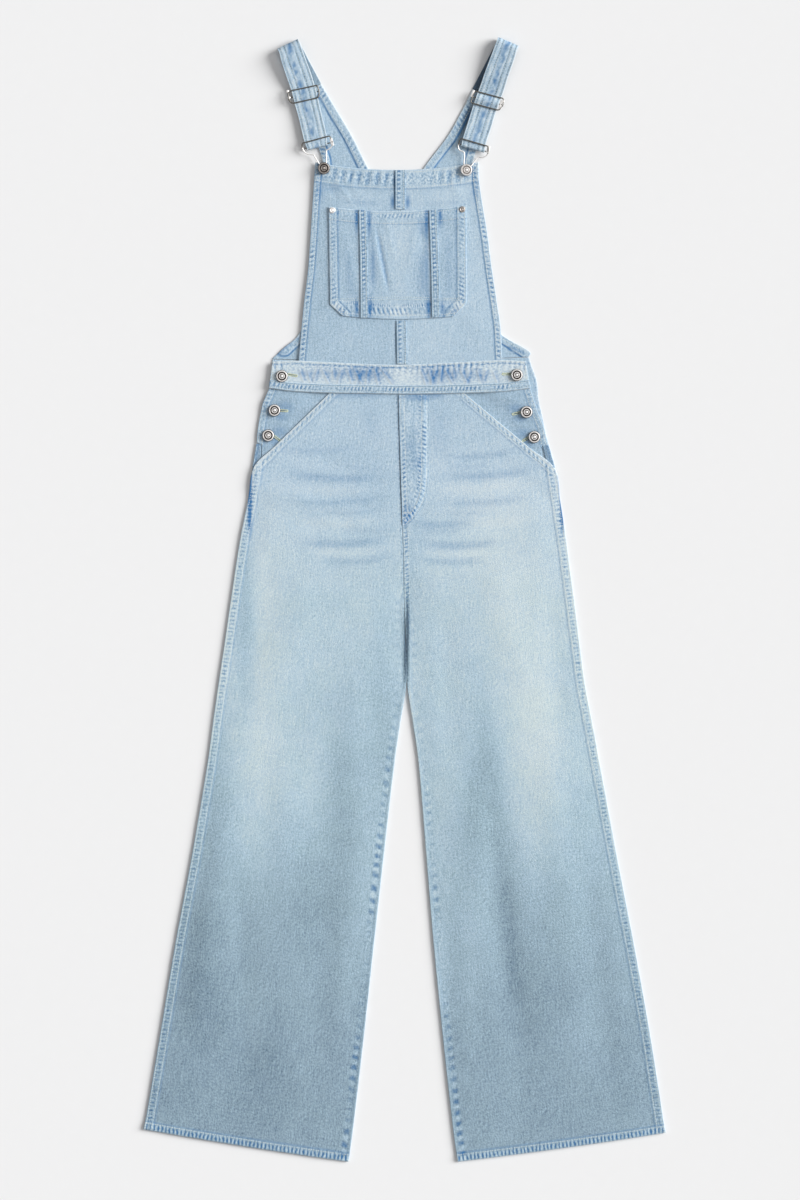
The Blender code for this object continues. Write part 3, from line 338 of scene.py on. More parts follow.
def denimLook(name, shades=denimShades):
    t = Tree(name)
    place = t.mapped(t.add("UVMap", uv_map="grain").outputs[0], (1000, 1000, 1))  # in mm along the cloth's grain
    wash = t.add("Attribute", attribute_name="wash").outputs["Fac"]
    dye = t.add("Attribute", attribute_name="dye").outputs["Fac"]
    seam = t.add("Attribute", attribute_name="seam").outputs["Fac"]
    turned = t.mapped(place, turn=math.radians(45))
    twill = t.add("TexWave", {"Vector": place, "Scale": 0.46, "Distortion": 1.2, "Detail": 1.0, "Detail Scale": 1.5},
                  bands_direction="DIAGONAL").outputs["Fac"]
    grain = t.noise(t.mapped(turned, (0.30, 0.92, 1)), detail=3.0, roughness=0.7)
    slub = t.noise(t.mapped(place, (0.9, 0.035, 1)), detail=2.0, roughness=0.6)
    cloud = t.noise(place, 0.045, detail=3.0)
    spots = t.noise(t.mapped(place, (0.34, 0.26, 1)), detail=2.5, roughness=0.6)
    spotted = t.add("Math", {0: spots, 1: 0.5}, operation="SUBTRACT").outputs[0]
    spotted = t.add("Math", {0: spotted, 1: seam}, operation="MULTIPLY").outputs[0]
    rungs = t.add("Attribute", attribute_name="rungs").outputs["Fac"]
    ladder = None
    for way, sign in (("Y", 1.0), ("X", -1.0)):  # uneven rungs about 5 mm apart, along or across the grain
        wave = t.add("TexWave", {"Vector": place, "Scale": 0.058, "Distortion": 2.2, "Detail": 1.0, "Detail Scale": 2.0},
                     bands_direction=way).outputs["Fac"]
        part = t.add("Math", {0: rungs, 1: sign}, operation="MULTIPLY").outputs[0]
        part = t.add("Math", {0: part, 1: 0.0}, operation="MAXIMUM").outputs[0]
        part = t.add("Math", {0: part, 1: t.sum((wave, -2.0, 0.5))}, operation="MULTIPLY").outputs[0]
        ladder = part if ladder is None else t.sum((ladder, 1.0, 0.0), (part, 1.0, 0.0))
    value = t.sum((ladder, -0.3, 0.0), (wash, 1.0, 0.0), (grain, denim["grain"] * 2, 0.5), (slub, denim["slub"] * 2, 0.5),
                  (cloud, denim["cloud"] * 2, 0.5), (spotted, denim["seamSpots"] * -2, 0.0), (twill, 0.06, 0.5))
    ramp = t.add("ValToRGB", {"Fac": value})
    bands = ramp.color_ramp.elements
    while len(bands) < len(shades):
        bands.new(0.5)
    for band, (at, colour) in zip(bands, shades):
        band.position, band.color = at, washed(*colour)
    yellowed = t.noise(place, 0.02, detail=2.0)  # the pale cloth has a faint green cast in patches
    cast = t.add("MapRange", {"Value": yellowed, "From Min": 0.38, "From Max": 0.62, "To Min": 0.7}).outputs[0]
    yellow = t.add("Attribute", attribute_name="yellow").outputs["Fac"]
    cast = t.add("Math", {0: cast, 1: yellow}, operation="MULTIPLY").outputs[0]
    tinted = t.add("Mix", {"Factor": cast}, data_type="RGBA", blend_type="MULTIPLY")
    t.links.new(ramp.outputs[0], tinted.inputs[6])
    tinted.inputs[7].default_value = (0.99, 1.0, 0.945, 1.0)
    unworn = t.sum((dye, 1.0, 0.0), (ladder, 0.9, 0.0), (spotted, 1.3, 0.02), (grain, 0.5, 0.5))
    blued = t.add("Mix", {"Factor": unworn}, data_type="RGBA", clamp_factor=True)
    t.links.new(tinted.outputs[2], blued.inputs[6])
    blued.inputs[7].default_value = washed(*deepBlue)
    t.links.new(blued.outputs[2], t.shader.inputs["Base Color"])
    height = t.sum((twill, 0.35, 0.0), (grain, 1.0, 0.0), (slub, 0.5, 0.0))
    bump = t.add("Bump", {"Height": height, "Strength": denim["bump"], "Distance": 0.0004})
    t.links.new(bump.outputs[0], t.shader.inputs["Normal"])
    t.set(Roughness=0.92, Sheen_Weight=0.05, Sheen_Roughness=0.5, Specular_IOR_Level=0.15)
    return t.material


def threadLook(name, dark, pale):
    t = Tree(name)
    place = t.mapped(t.add("TexCoord").outputs["Object"], (1000, 1000, 1000))
    patches = t.noise(place, 0.07, detail=2.0)
    twist = t.noise(place, 2.2, detail=1.0)
    ramp = t.add("ValToRGB", {"Fac": t.sum((patches, 0.9, 0.0), (twist, 0.3, 0.15))})
    for band, (at, colour) in zip(ramp.color_ramp.elements, ((0.25, dark), (0.6, pale))):
        band.position, band.color = at, washed(*colour)
    t.links.new(ramp.outputs[0], t.shader.inputs["Base Color"])
    t.set(Roughness=0.8, Specular_IOR_Level=0.25)
    return t.material


def metalLook(name, bright, dark, patina, scatter=1.0):
    t = Tree(name)
    place = t.mapped(t.add("TexCoord").outputs["Object"], (1000, 1000, 1000))
    stains = t.add("TexNoise", {"Vector": place, "Scale": 0.9, "Detail": 3.0}).outputs["Fac"]
    scratches = t.add("TexNoise", {"Vector": t.mapped(place, (6.0, 0.8, 1.0)), "Scale": 1.0}).outputs["Fac"]
    ramp = t.add("ValToRGB", {"Fac": stains})
    for band, (at, colour) in zip(ramp.color_ramp.elements, ((patina - 0.15, dark), (patina + 0.1, bright))):
        band.position, band.color = at, (*colour, 1.0)
    t.links.new(ramp.outputs[0], t.shader.inputs["Base Color"])
    rough = t.add("MapRange", {"Value": scratches, "To Min": 0.34, "To Max": 0.58}).outputs[0]
    t.links.new(rough, t.shader.inputs["Roughness"])
    bump = t.add("Bump", {"Height": scratches, "Strength": 0.15, "Distance": 0.0001})
    t.links.new(bump.outputs[0], t.shader.inputs["Normal"])
    t.set(Metallic=scatter)
    return t.material


denimCloth = denimLook("denim_washed")
thread = threadLook("thread_pale", (170, 190, 200), (226, 230, 220))
holeThread = threadLook("thread_straw", (168, 176, 150), (216, 222, 190))
silver = metalLook("silver_tumbled", (0.92, 0.90, 0.88), (0.62, 0.57, 0.54), 0.40, 0.6)
# a darker copy of the silver: painted darker reflection on the left bib button and the right rivet, and the right bib
# button's hollows, lighter than the others' oxide
dimReflectionSilver = metalLook("silver_dim_reflection", (0.52, 0.48, 0.45), (0.24, 0.21, 0.19), 0.46)
# a darker copy of the metal, painted dark reflection on the tops of wires and on the bars
darkReflectionMetal = metalLook("metal_dark_reflection", (0.24, 0.23, 0.21), (0.12, 0.11, 0.10), 0.45)
# dark oxide for the buttons' groove and ring, also painted shade on their outer slope
oxideAndRimShade = metalLook("oxide_and_rim_shade", (0.12, 0.10, 0.09), (0.04, 0.035, 0.03), 0.5)
print("materials made")

# Cloth shells


def shellMesh(name, outer, inner, painted, innerWash, grain, material):
    rows, columns = outer.shape[:2]
    count = rows * columns
    index = np.arange(count).reshape(rows, columns)
    quads = np.stack([index[:-1, :-1], index[1:, :-1], index[1:, 1:], index[:-1, 1:]], axis=-1).reshape(-1, 4)
    ring = np.concatenate([index[0, :-1], index[:-1, -1], index[-1, :0:-1], index[:0:-1, 0]])
    following = np.roll(ring, -1)
    rim = np.stack([ring, following, following + count, ring + count], axis=-1)
    faces = np.concatenate([quads, quads[:, ::-1] + count, rim])
    places = np.concatenate([outer.reshape(-1, 3), inner.reshape(-1, 3)]) * mm
    mesh = bpy.data.meshes.new(name)
    mesh.from_pydata(places.tolist(), [], faces.tolist())
    for key, first in painted.items():
        second = innerWash if key == "wash" else first * 0.2
        values = np.concatenate([np.ravel(first), np.ravel(second)]).astype(np.float32)
        mesh.attributes.new(key, "FLOAT", "POINT").data.foreach_set("value", values)
    corners = np.empty(len(mesh.loops), dtype=np.int32)
    mesh.loops.foreach_get("vertex_index", corners)
    flat = np.concatenate([grain.reshape(-1, 2)] * 2) * mm
    mesh.uv_layers.new(name="grain").data.foreach_set("uv", flat[corners].astype(np.float32).ravel())
    body = bmesh.new()
    body.from_mesh(mesh)
    bmesh.ops.recalc_face_normals(body, faces=body.faces)
    body.to_mesh(mesh)
    body.free()
    mesh.shade_smooth()
    mesh.materials.append(material)
    made = bpy.data.objects.new(name, mesh)
    bpy.context.collection.objects.link(made)
    return made


def puckers(distance, along, seam):
    spacing, seed = seam.get("spacing", 6.0), seam.get("seed", 1)
    drift = softNoise(along, distance * 0.3, spacing * 2.6, seed) * 1.9
    wave = np.cos((along + seam.get("slant", 0.4) * distance) * math.tau / spacing + drift)
    strength = 0.62 + 0.6 * softNoise(along, distance * 0.1, spacing * 4.0, seed + 7)
    return np.tanh(1.6 * wave) * np.clip(strength, 0.1, 1.0)


def seamWork(x, y, seams):  # height, wash, blue and spots that the seams and hems bring
    lift, wash, dye, mask, rungs = (np.zeros(x.shape) for _ in range(5))
    for seam in seams:
        distance, along = toLine(x, y, seam["line"])
        width, rise = seam.get("width", 0.0), seam.get("rise", 0.0)
        centre, half = seam.get("centre", width * 0.5), seam.get("half", max(2.6, width * 0.45))
        pale, blue = seam.get("pale", 0.16), seam.get("blue", 0.45)
        zone = np.exp(-((distance - centre) / half) ** 4)
        if "fadeUp" in seam:
            zone = zone * (1 - 0.75 * ease(*seam["fadeUp"], y))
        wave = puckers(distance, along, seam)
        hollow = np.maximum(0.0, -wave - 0.1)
        if width:
            lift += rise * (1 - ease(width - 0.5, width + 0.7, distance))
            wash += pale * np.exp(-((distance - 0.9) / 1.0) ** 2)
            dye += seam.get("deep", 0.34) * np.exp(-((distance - width - 1.1) / 1.0) ** 2)
        lift += seam.get("pucker", 0.15) * wave * zone
        for row in seam.get("rows", ()):
            lift -= 0.2 * np.exp(-((distance - row) / 0.8) ** 2)
            wash += 0.14 * np.exp(-((distance - row) / 0.9) ** 2)
        for row in seam.get("dark", ()):  # thin dark lines beside the stitches
            line = np.exp(-((distance - row) / 0.75) ** 2)
            wash -= 0.36 * line
            dye += 0.16 * line
        dye += blue * hollow * zone
        wash += (0.35 * blue * np.maximum(0.0, wave) - 0.3 * blue * hollow) * zone
        rungs += seam.get("rungs", 0.0) * zone  # above 0 they cross the grain, below 0 they run along it
        mask = np.maximum(mask, zone * seam.get("spots", 0.8))
    return lift, wash, dye, mask, rungs


made = {}


def finishPiece(piece, nodes):
    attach(piece, "root")
    if nodes:
        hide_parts(*nodes)


def clothPiece(node, rows, spec, under):  # a panel of cloth: its form from the sections, its detail from the spec
    fine = moreSections(rows, spec.get("step", 2.6), spec.get("smooth", True))
    width = np.hypot(fine[:, 2] - fine[:, 0], fine[:, 3] - fine[:, 1])[:, None]
    near = np.array(spec.get("edges", nearEdges))[None, :] * np.minimum(1.0, 0.42 * width / spec.get("edges", nearEdges)[-1])
    near = near / width
    middle = np.linspace(0.0, 1.0, spec.get("columns", 40) + 1)[None, 1:-1]
    share = np.concatenate([near, near[:, -1:] + (1 - 2 * near[:, -1:]) * middle, 1 - near[:, ::-1]], axis=1)
    x = fine[:, 0:1] + (fine[:, 2:3] - fine[:, 0:1]) * share
    y = fine[:, 1:2] + (fine[:, 3:4] - fine[:, 1:2]) * share - fine[:, 4:5] * 4 * share * (1 - share)
    step = np.hypot(np.diff(x, axis=0), np.diff(y, axis=0))
    fromStart = np.concatenate([np.zeros((1, x.shape[1])), np.cumsum(step, axis=0)])
    fromEdge = np.minimum(np.minimum(share, 1 - share) * width, np.minimum(fromStart, fromStart[-1] - fromStart))

    def details(x, y):
        lift, wash, dye, mask, rungs = seamWork(x, y, spec.get("seams", ()))
        rumple = spec.get("rumple", 0.12)
        lift = lift + foldHeight(x, y, spec.get("creases", ())) + rumple * softNoise(x, y, 21.0, 11)
        lift = lift + 0.5 * rumple * softNoise(x, y, 9.0, 5) + foldHeight(x, y, [(*r[:5], r[5]) for r in spec.get("ridges", ())])
        ground = np.interp(y, *zip(*spec["along"])) if "along" in spec else np.full(x.shape, spec.get("wash", 0.55))
        ground = ground + blobs(x, y, spec.get("fades", ())) + streaks(x, y, spec.get("streaks", ()))
        wash = wash + np.maximum(ground, spec.get("darkest", 0.0)) + streaks(x, y, spec.get("shades", ()))
        wash = wash + foldHeight(x, y, [(*r[:4], r[4] * 1.2, r[6]) for r in spec.get("ridges", ())])
        wash = wash + 0.03 * softNoise(x, y, 46.0, 23)
        dye = dye + spec.get("dye", 0.0) + blobs(x, y, spec.get("blues", ())) + streaks(x, y, spec.get("blueStreaks", ()))
        shadowLinesAndSlits = streaks(x, y, spec.get("shadowLinesAndSlits", ()))  # crisp dark lines: painted shadows beside lapped edges and strips, and the dark buttonhole slits
        lift, wash, dye = lift - 0.3 * shadowLinesAndSlits, wash - 0.55 * shadowLinesAndSlits, dye + 0.4 * shadowLinesAndSlits
        mask = np.maximum(mask, spec.get("mottle", 0.3))
        if "rise" in spec:
            lift = lift + spec["rise"](x, y)
        if "calm" in spec:
            lift = lift * spec["calm"](x, y)
        yellow = np.interp(y, *zip(*spec["yellow"])) if "yellow" in spec else np.full(x.shape, 0.15)
        return lift, {"wash": wash, "dye": np.clip(dye, 0.0, 1.0), "seam": mask, "rungs": rungs, "yellow": yellow}

    lift, painted = details(x, y)
    wall = spec.get("wall", cloth)
    bottom = under(x, y)
    top = bottom + wall + lift
    radius = 0.42 * (top - bottom)
    roll = radius * (1 - np.sqrt(1 - (1 - np.clip(fromEdge / radius, 0.0, 1.0)) ** 2))
    if spec.get("outside") == "below":  # the face that is looked at is the one it lies on
        top = bottom + wall
        bottom = bottom - np.minimum(0.0, lift - spec.get("sink", 0.0))
    grainTurn = math.radians(spec.get("grain", 0.0))
    grain = np.stack([x * math.cos(grainTurn) + y * math.sin(grainTurn),
                      y * math.cos(grainTurn) - x * math.sin(grainTurn)], axis=-1)
    wash = painted["wash"]
    insideWash = np.clip(wash * 0.3 + 0.6, 0.0, 1.0) if spec.get("outside") != "below" else wash
    piece = shellMesh(node + "_cloth", np.stack([x, y, top - roll], axis=-1), np.stack([x, y, bottom + roll], axis=-1),
                      painted, insideWash, grain, denimCloth)
    finishPiece(piece, [node])
    surface = (lambda x, y: under(x, y) + wall + details(x, y)[0]) if spec.get("outside") != "below" else (
        lambda x, y: under(x, y) - np.minimum(0.0, details(x, y)[0] - spec.get("sink", 0.0)))
    made[node] = {"piece": piece, "rows": fine, "surface": surface, "below": spec.get("outside") == "below"}
    return piece


# Stitches
stitching = {"pitch": 3.4, "length": 2.6, "width": 0.75, "height": 0.26}


def offsetLine(rows, side, distance, start=0.0, end=1.0):  # a line along one side: a, b, start or end
    if side in "ab":
        width = np.hypot(rows[:, 2] - rows[:, 0], rows[:, 3] - rows[:, 1])
        share = distance / width if side == "a" else 1 - distance / width
        line = np.stack([rows[:, 0] + (rows[:, 2] - rows[:, 0]) * share,
                         rows[:, 1] + (rows[:, 3] - rows[:, 1]) * share - rows[:, 4] * 4 * share * (1 - share)], axis=1)
        count = len(line) - 1
        return line[int(start * count):int(math.ceil(end * count)) + 1]
    first, second = (rows[0], rows[-1]) if side == "start" else (rows[-1], rows[0])
    line = crossLine(first, 60)
    inwards = crossLine(second, 60) - line
    near = crossLine(rows[len(rows) // 12] if side == "start" else rows[-1 - len(rows) // 12], 60) - line
    inwards = near / np.linalg.norm(near, axis=1)[:, None]
    line = line + inwards * distance
    return line[int(start * 59):int(math.ceil(end * 59)) + 1]


def evenly(line, pitch):  # points at an even pitch along a line
    lengths = np.concatenate([[0.0], np.cumsum(np.linalg.norm(np.diff(line, axis=0), axis=1))])
    places = np.arange(pitch * 0.5, lengths[-1], pitch)
    return np.stack([np.interp(places, lengths, line[:, k]) for k in range(line.shape[1])], axis=1)


def stitchMesh(name, centres, ahead, up, length, width, height, material):  # small arched capsules of a few faces
    across = np.cross(up, ahead)
    across /= np.linalg.norm(across, axis=1)[:, None]
    rings = [(-0.5, 0.0, -0.5), (-0.22, 1.0, 0.3), (0.22, 1.0, 0.3), (0.5, 0.0, -0.5)]
    parts, faces = [], []
    for along, size, lift in rings:
        if size == 0.0:
            corners = ((0.0, 0.0),)
        else:
            corners = ((-0.5 * size, 0.0), (0.0, 0.6 * size), (0.5 * size, 0.0), (0.0, -0.6 * size))
        for side, rise in corners:
            parts.append(centres + ahead * (along * length) + across * (side * width)
                         + up * ((rise + lift) * height))
    for k in range(4):
        n = (k + 1) % 4
        faces += [(0, 1 + n, 1 + k), (1 + k, 1 + n, 5 + n, 5 + k), (9, 5 + k, 5 + n)]
    points = np.stack(parts, axis=1).reshape(-1, 3)
    count = len(centres)
    allFaces = []
    for base in range(0, count * 10, 10):
        allFaces += [tuple(base + i for i in face) for face in faces]
    mesh = bpy.data.meshes.new(name)
    mesh.from_pydata((points * mm).tolist(), [], allFaces)
    body = bmesh.new()
    body.from_mesh(mesh)
    bmesh.ops.recalc_face_normals(body, faces=body.faces)
    body.to_mesh(mesh)
    body.free()
    mesh.shade_smooth()
    mesh.materials.append(material)
    piece = bpy.data.objects.new(name, mesh)
    bpy.context.collection.objects.link(piece)
    return piece


def sew(node, lines, seed=3):  # rows of stitches on a panel, along the given lines
    info = made[node]
    random = np.random.RandomState(seed)
    centres, heads = [], []
    for line in lines:
        if len(line) < 2:
            continue
        points = evenly(np.asarray(line), stitching["pitch"])
        if len(points) < 3:
            continue
        ahead = np.gradient(points, axis=0)
        ahead /= np.linalg.norm(ahead, axis=1)[:, None]
        centres.append(points + random.normal(0.0, 0.06, points.shape))
        heads.append(ahead + random.normal(0.0, 0.05, ahead.shape))
    points, ahead = np.concatenate(centres), np.concatenate(heads)
    height = info["surface"](points[:, 0], points[:, 1])
    front = info["surface"](points[:, 0] + ahead[:, 0], points[:, 1] + ahead[:, 1])
    ahead3 = np.stack([ahead[:, 0], ahead[:, 1], front - height], axis=1)
    ahead3 /= np.linalg.norm(ahead3, axis=1)[:, None]
    up = np.tile([0.0, 0.0, -1.0 if info["below"] else 1.0], (len(points), 1))
    centres3 = np.stack([points[:, 0], points[:, 1], height], axis=1)
    piece = stitchMesh(node + "_stitches", centres3, ahead3, up, stitching["length"], stitching["width"],
                       stitching["height"], thread)
    finishPiece(piece, [])
    info.setdefault("extras", []).append(piece)
    return len(points)


def sewButtonhole(node, start, end):  # close stitches laid across both sides of a slit and round its end
    start, end = np.array(start), np.array(end)
    ahead = (end - start) / np.linalg.norm(end - start)
    across = np.array([-ahead[1], ahead[0]])
    info = made[node]
    places, heads = [], []
    for k in range(int(np.linalg.norm(end - start) / 0.8) + 1):
        for way in (-1.0, 1.0):
            places.append(start + ahead * k * 0.8 + across * way * 1.15)
            heads.append(across * way)
    for angle in np.radians(np.arange(-75, 76, 25)):
        out = ahead * math.cos(angle) + across * math.sin(angle)
        places.append(end + out * 1.15)
        heads.append(out)
    places, heads = np.array(places), np.array(heads)
    height = info["surface"](places[:, 0], places[:, 1]) + 0.1
    piece = stitchMesh(f"{node}_buttonhole_{len(info.get('extras', []))}", np.column_stack([places, height]),
                       np.column_stack([heads, heads[:, 0] * 0.0]), np.tile([0.0, 0.0, 1.0], (len(places), 1)),
                       2.0, 0.8, 0.3, holeThread)
    finishPiece(piece, [])
    info.setdefault("extras", []).append(piece)


nearEdges = [0.0, 0.15, 0.5, 1.2, 2.4, 3.6, 4.8, 6.0, 7.2, 8.4, 9.6, 10.8, 12.0, 13.2, 15.0, 17.5, 20.5]
smallEdges = [0.0, 0.15, 0.5, 1.1, 1.9]


def legSeams(slant, leg, side):
    outer = np.concatenate([edgeA(slant)[-1:], edgeA(leg)])
    inner = edgeB(leg[leg[:, 3] <= crotchY])
    seed = 20 if side == "left" else 60
    return [
        {"line": edgeA(slant), "width": 9.5, "rise": 0.25, "rows": (2.2, 8.2), "pucker": 0.10, "spacing": 6.5,
         "blue": 0.2, "rungs": -0.4, "seed": seed, "pale": 0.26, "half": 3.0},
        {"line": outer, "width": 12.0, "rise": 0.35, "rows": (2.2, 10.4), "pucker": 0.08, "spacing": 9.0,
         "blue": 0.3, "rungs": 0.28, "half": 3.8, "seed": seed + 1},
        {"line": inner, "width": 3.4, "rise": 0.2, "pucker": 0.10, "spacing": 15.0, "blue": 0.75, "centre": 9.0,
         "half": 4.2, "slant": 0.2, "seed": seed + 2, "spots": 0.6, "deep": 0.1, "fadeUp": (-330.0, -150.0)},
        {"line": crossLine(leg[-1]), "width": 11.0, "rise": 0.6, "rows": (9.6,), "pucker": 0.1, "spacing": 14.0,
         "blue": 0.2, "rungs": -1.0, "centre": 4.6, "half": 4.0, "slant": 0.1, "deep": 0.4, "seed": seed + 3},
    ]


# Legs
legWash = {
    "left": {"along": [(-790, 0.33), (-700, 0.29), (-560, 0.32), (-490, 0.38), (-420, 0.44), (-350, 0.52), (-280, 0.58),
                       (-140, 0.66), (0, 0.70), (140, 0.70), (220, 0.70), (300, 0.62)],
             "fades": [(-205, -220, 40, 150, 0.22), (-215, 10, 34, 110, 0.18), (-130, -240, 34, 90, 0.10),
                       (-84, -300, 28, 130, -0.20), (-262, -320, 24, 110, -0.12), (-285, -520, 30, 140, -0.14),
                       (-60, -420, 30, 110, 0.10), (-205, -640, 40, 110, -0.08), (-190, -715, 34, 40, 0.03),
                       (-150, -540, 30, 90, 0.04), (-30, -180, 24, 110, -0.16), (-40, 160, 30, 60, -0.06),
                       (-222, -20, 16, 130, -0.34), (-146, 83, 60, 55, 0.05), (-29, -15, 14, 60, -0.08),
                       (-233, -463, 16, 60, 0.06), (-209, -589, 20, 55, 0.12), (-140, -430, 34, 80, -0.14),
                       (-83, -540, 14, 60, 0.08), (-270, -700, 30, 60, 0.04)],
             "streaks": [(-228, -330, -226, -560, 4, 12, -0.07)]
             + marks([(270, 468, 398, 474), (276, 500, 399, 493), (286, 539, 400, 535), (300, 558, 400, 554)], 9, 6, -0.07)
             + marks([(266, 440, 398, 436), (290, 452, 398, 450)], 8, 6, -0.05)
             + marks([(262, 484, 394, 486), (280, 519, 399, 515), (300, 548, 396, 545)], 8, 6, 0.09),
             "shades": [(1, 35, 1, -150, 0, 2.6, -0.95)],
             "blueStreaks": marks([(272, 470, 398, 475), (286, 540, 400, 536)], 9, 6, 0.24)
             + marks([(262, 448, 376, 443), (284, 500, 398, 494), (318, 558, 400, 554)], 8, 5, 0.18)
             + marks([(330, 462, 398, 466), (310, 510, 396, 507), (334, 528, 400, 527)], 6, 3.5, 0.14)
             + marks([(316, 394, 398, 395)], 0, 6, 0.30) + marks([(250.5, 440, 249.5, 545)], 0, 2.6, 1.6)
             + marks([(372, 400, 372, 450)], 0, 14, 0.10)},
    "right": {"along": [(-790, 0.34), (-700, 0.32), (-560, 0.36), (-490, 0.42), (-420, 0.48), (-350, 0.56), (-280, 0.62),
                        (-140, 0.71), (0, 0.74), (140, 0.72), (220, 0.71), (300, 0.62)],
              "fades": [(188, -210, 44, 150, 0.24), (180, 20, 46, 110, 0.08), (56, -480, 12, 220, 0.07),
                        (45, -350, 18, 90, 0.02), (200, -520, 24, 120, -0.05), (10, 60, 18, 110, -0.10),
                        (258, -620, 22, 60, 0.06), (134, 139, 70, 30, 0.12), (113, 66, 40, 50, 0.12), (44, -85, 20, 90, -0.07),
                        (141, -29, 26, 60, 0.06), (98, -290, 16, 110, -0.20), (93, -500, 16, 130, 0.12),
                        (160, -580, 16, 50, 0.06), (45, -530, 14, 110, 0.10), (225, -120, 26, 70, -0.07)],
              # the first streak is painted shade on the left-facing slope of a long fold
              "streaks": [(100, -60, 172, -700, -6, 16, -0.22)]
              + marks([(408, 474, 548, 464), (408, 500, 540, 494), (408, 541, 520, 538), (408, 557, 500, 556),
                        (408, 520, 476, 518)], 9, 6, -0.07)
              + marks([(440, 456, 536, 446), (440, 436, 500, 432)], 8, 6, -0.05)
              + marks([(414, 486, 552, 478), (460, 519, 544, 515), (410, 549, 500, 548)], 8, 6, 0.09),
              "shades": [(4, 35, 4, -150, 0, 2.6, -0.95)],
              "blueStreaks": marks([(434, 474, 548, 465), (408, 541, 514, 538), (406, 520, 478, 518)], 9, 6, 0.24)
              + marks([(438, 455, 530, 446), (430, 500, 540, 494), (408, 557, 496, 556)], 8, 5, 0.18)
              + marks([(440, 464, 500, 462), (430, 510, 500, 509), (410, 529, 470, 528)], 6, 3.5, 0.14)
              + marks([(404, 394, 452, 394)], 0, 7, 0.50) + marks([(558.8, 440, 563.0, 545)], 0, 2.6, 1.6)
              + marks([(440, 400, 440, 470)], 0, 16, 0.12)},
}
for side, slant, leg, shift, turn in (("left", leftSlant, leftLeg, -0.15, -6.0), ("right", rightSlant, rightLeg, 0.15, 6.0)):
    rows = np.concatenate([slant, leg])
    rows[:, 2] += shift
    for row, meet in zip(rows[len(slant) + 3:], (1.6, 3.0)):  # the inner edges touch below the crotch
        row[2] = meet + 2 * shift
    under = legUnder(slant, leg)
    spec = dict(legWash[side], darkest=0.21, yellow=[(-640, 0.5), (-300, 1.0), (0, 0.9), (90, 0.5), (170, 0.1)], seams=legSeams(slant, leg, side), grain=turn, columns=50, step=3.1, rumple=0.16,
                calm=lambda x, y: ease(292.0, 280.0, y))
    centreLine = edgeB(rows[rows[:, 3] >= crotchY])
    spec["seams"].append({"line": centreLine, "width": 1.0, "pale": -0.14, "pucker": 0.06, "spacing": 7.0, "blue": 0.2,
                          "half": 3.0, "seed": 90, "deep": 0.1})
    if side == "right":
        spec["seams"].append({"line": edgeB(leg[:4]), "pucker": 0.12, "spacing": 5.6, "blue": 0.75, "centre": 5.0,
                              "half": 3.0, "seed": 93, "fadeUp": (10.0, -70.0)})
    spec["dye"] = 0.02
    clothPiece("front_leg_" + side, rows, spec, under)
    legRows = moreSections(np.concatenate([slant[-1:], leg]), 3.0, True)
    lines = [offsetLine(moreSections(slant, 3.0, True), "a", 2.2), offsetLine(moreSections(slant, 3.0, True), "a", 8.2),
             offsetLine(legRows, "a", 2.2), offsetLine(legRows, "a", 10.4), offsetLine(legRows, "end", 9.6)]
    if side == "right":
        below = moreSections(leg[:3], 3.0, True)
        lines += [offsetLine(below, "b", 2.4), offsetLine(below, "b", 8.0)]
    sew("front_leg_" + side, lines)
print("front legs made")

for side, hip, leg, shift, turn in (("left", leftBackHip, leftLeg, -0.15, -6.0), ("right", rightBackHip, rightLeg, 0.15, 6.0)):
    rows = np.concatenate([hip, leg])
    rows[:, 2] += shift
    outer, inner = edgeA(rows), edgeB(leg[leg[:, 3] <= crotchY])
    centre = edgeB(rows[rows[:, 3] >= crotchY])
    spec = {"wash": 0.58, "outside": "below", "grain": turn, "columns": 24, "step": 6.0, "rumple": 0.0, "sink": 0.0,
            "edges": [0.0, 0.15, 0.5, 1.4, 3.0, 5.0, 8.0, 10.0, 12.0, 16.0],
            "fades": [(-120 if side == "left" else 120, 190, 90, 80, 0.24), (-150 if side == "left" else 150, -150, 90, 200, 0.12),
                      (-220 if side == "left" else 220, -640, 110, 130, -0.22)],
            "seams": [{"line": outer, "width": 2.0, "rise": 0.0, "rows": (3.0,), "blue": 0.14, "spacing": 7.0, "pucker": 0.05},
                      {"line": inner, "width": 10.0, "rise": 0.0, "rows": (2.2, 8.6), "blue": 0.2, "spacing": 5.0, "pucker": 0.05},
                      {"line": centre, "width": 10.0, "rise": 0.0, "rows": (2.2, 8.6), "blue": 0.18, "spacing": 5.5, "pucker": 0.05},
                      {"line": crossLine(leg[-1]), "width": 11.0, "rise": 0.0, "rows": (9.6,), "blue": 0.3, "spacing": 5.6, "pucker": 0.05}]}
    clothPiece("back_leg_" + side, rows, spec, level(0.0))
print("back legs made")

# Back panel, seen from its inside above the bib
for side, rows, shift in (("left", leftBack, -0.15), ("right", rightBack, 0.15)):
    rows = rows.copy()
    rows[:, 2] += shift
    armhole, neckline = edgeA(rows[1:]), edgeB(rows[necklineRow:])
    seed = 31 if side == "left" else 41
    armholeShade = [(296, 337, 274, 358)] if side == "left" else [(504, 344, 528, 355)]
    strapShade = marks([(476, 100, 453, 146), (474, 104, 462, 128)], 0, 5, -0.55) if side == "right" else []
    spec = {"wash": 0.62, "dye": 0.05, "blueStreaks": marks(armholeShade, 0, 2.2, 0.5), "streaks": strapShade, "columns": 30, "step": 2.3, "slot": "denim_inside", "rumple": 0.1,
            "seams": [{"line": line, "width": 11.0, "rise": 0.7, "rows": (9.6,), "pucker": 0.16, "spacing": 6.6, "blue": 0.85,
                       "half": 4.0, "seed": seed + k, "deep": 1.2, "pale": 0.3} for k, line in enumerate((armhole, neckline))]}
    clothPiece("back_panel_" + side, rows, spec, level(0.0))
    fine = made["back_panel_" + side]["rows"]
    sew("back_panel_" + side, [offsetLine(fine, "a", 9.4, 0.08), offsetLine(fine, "b", 9.4, 0.42)])
print("back panel made")

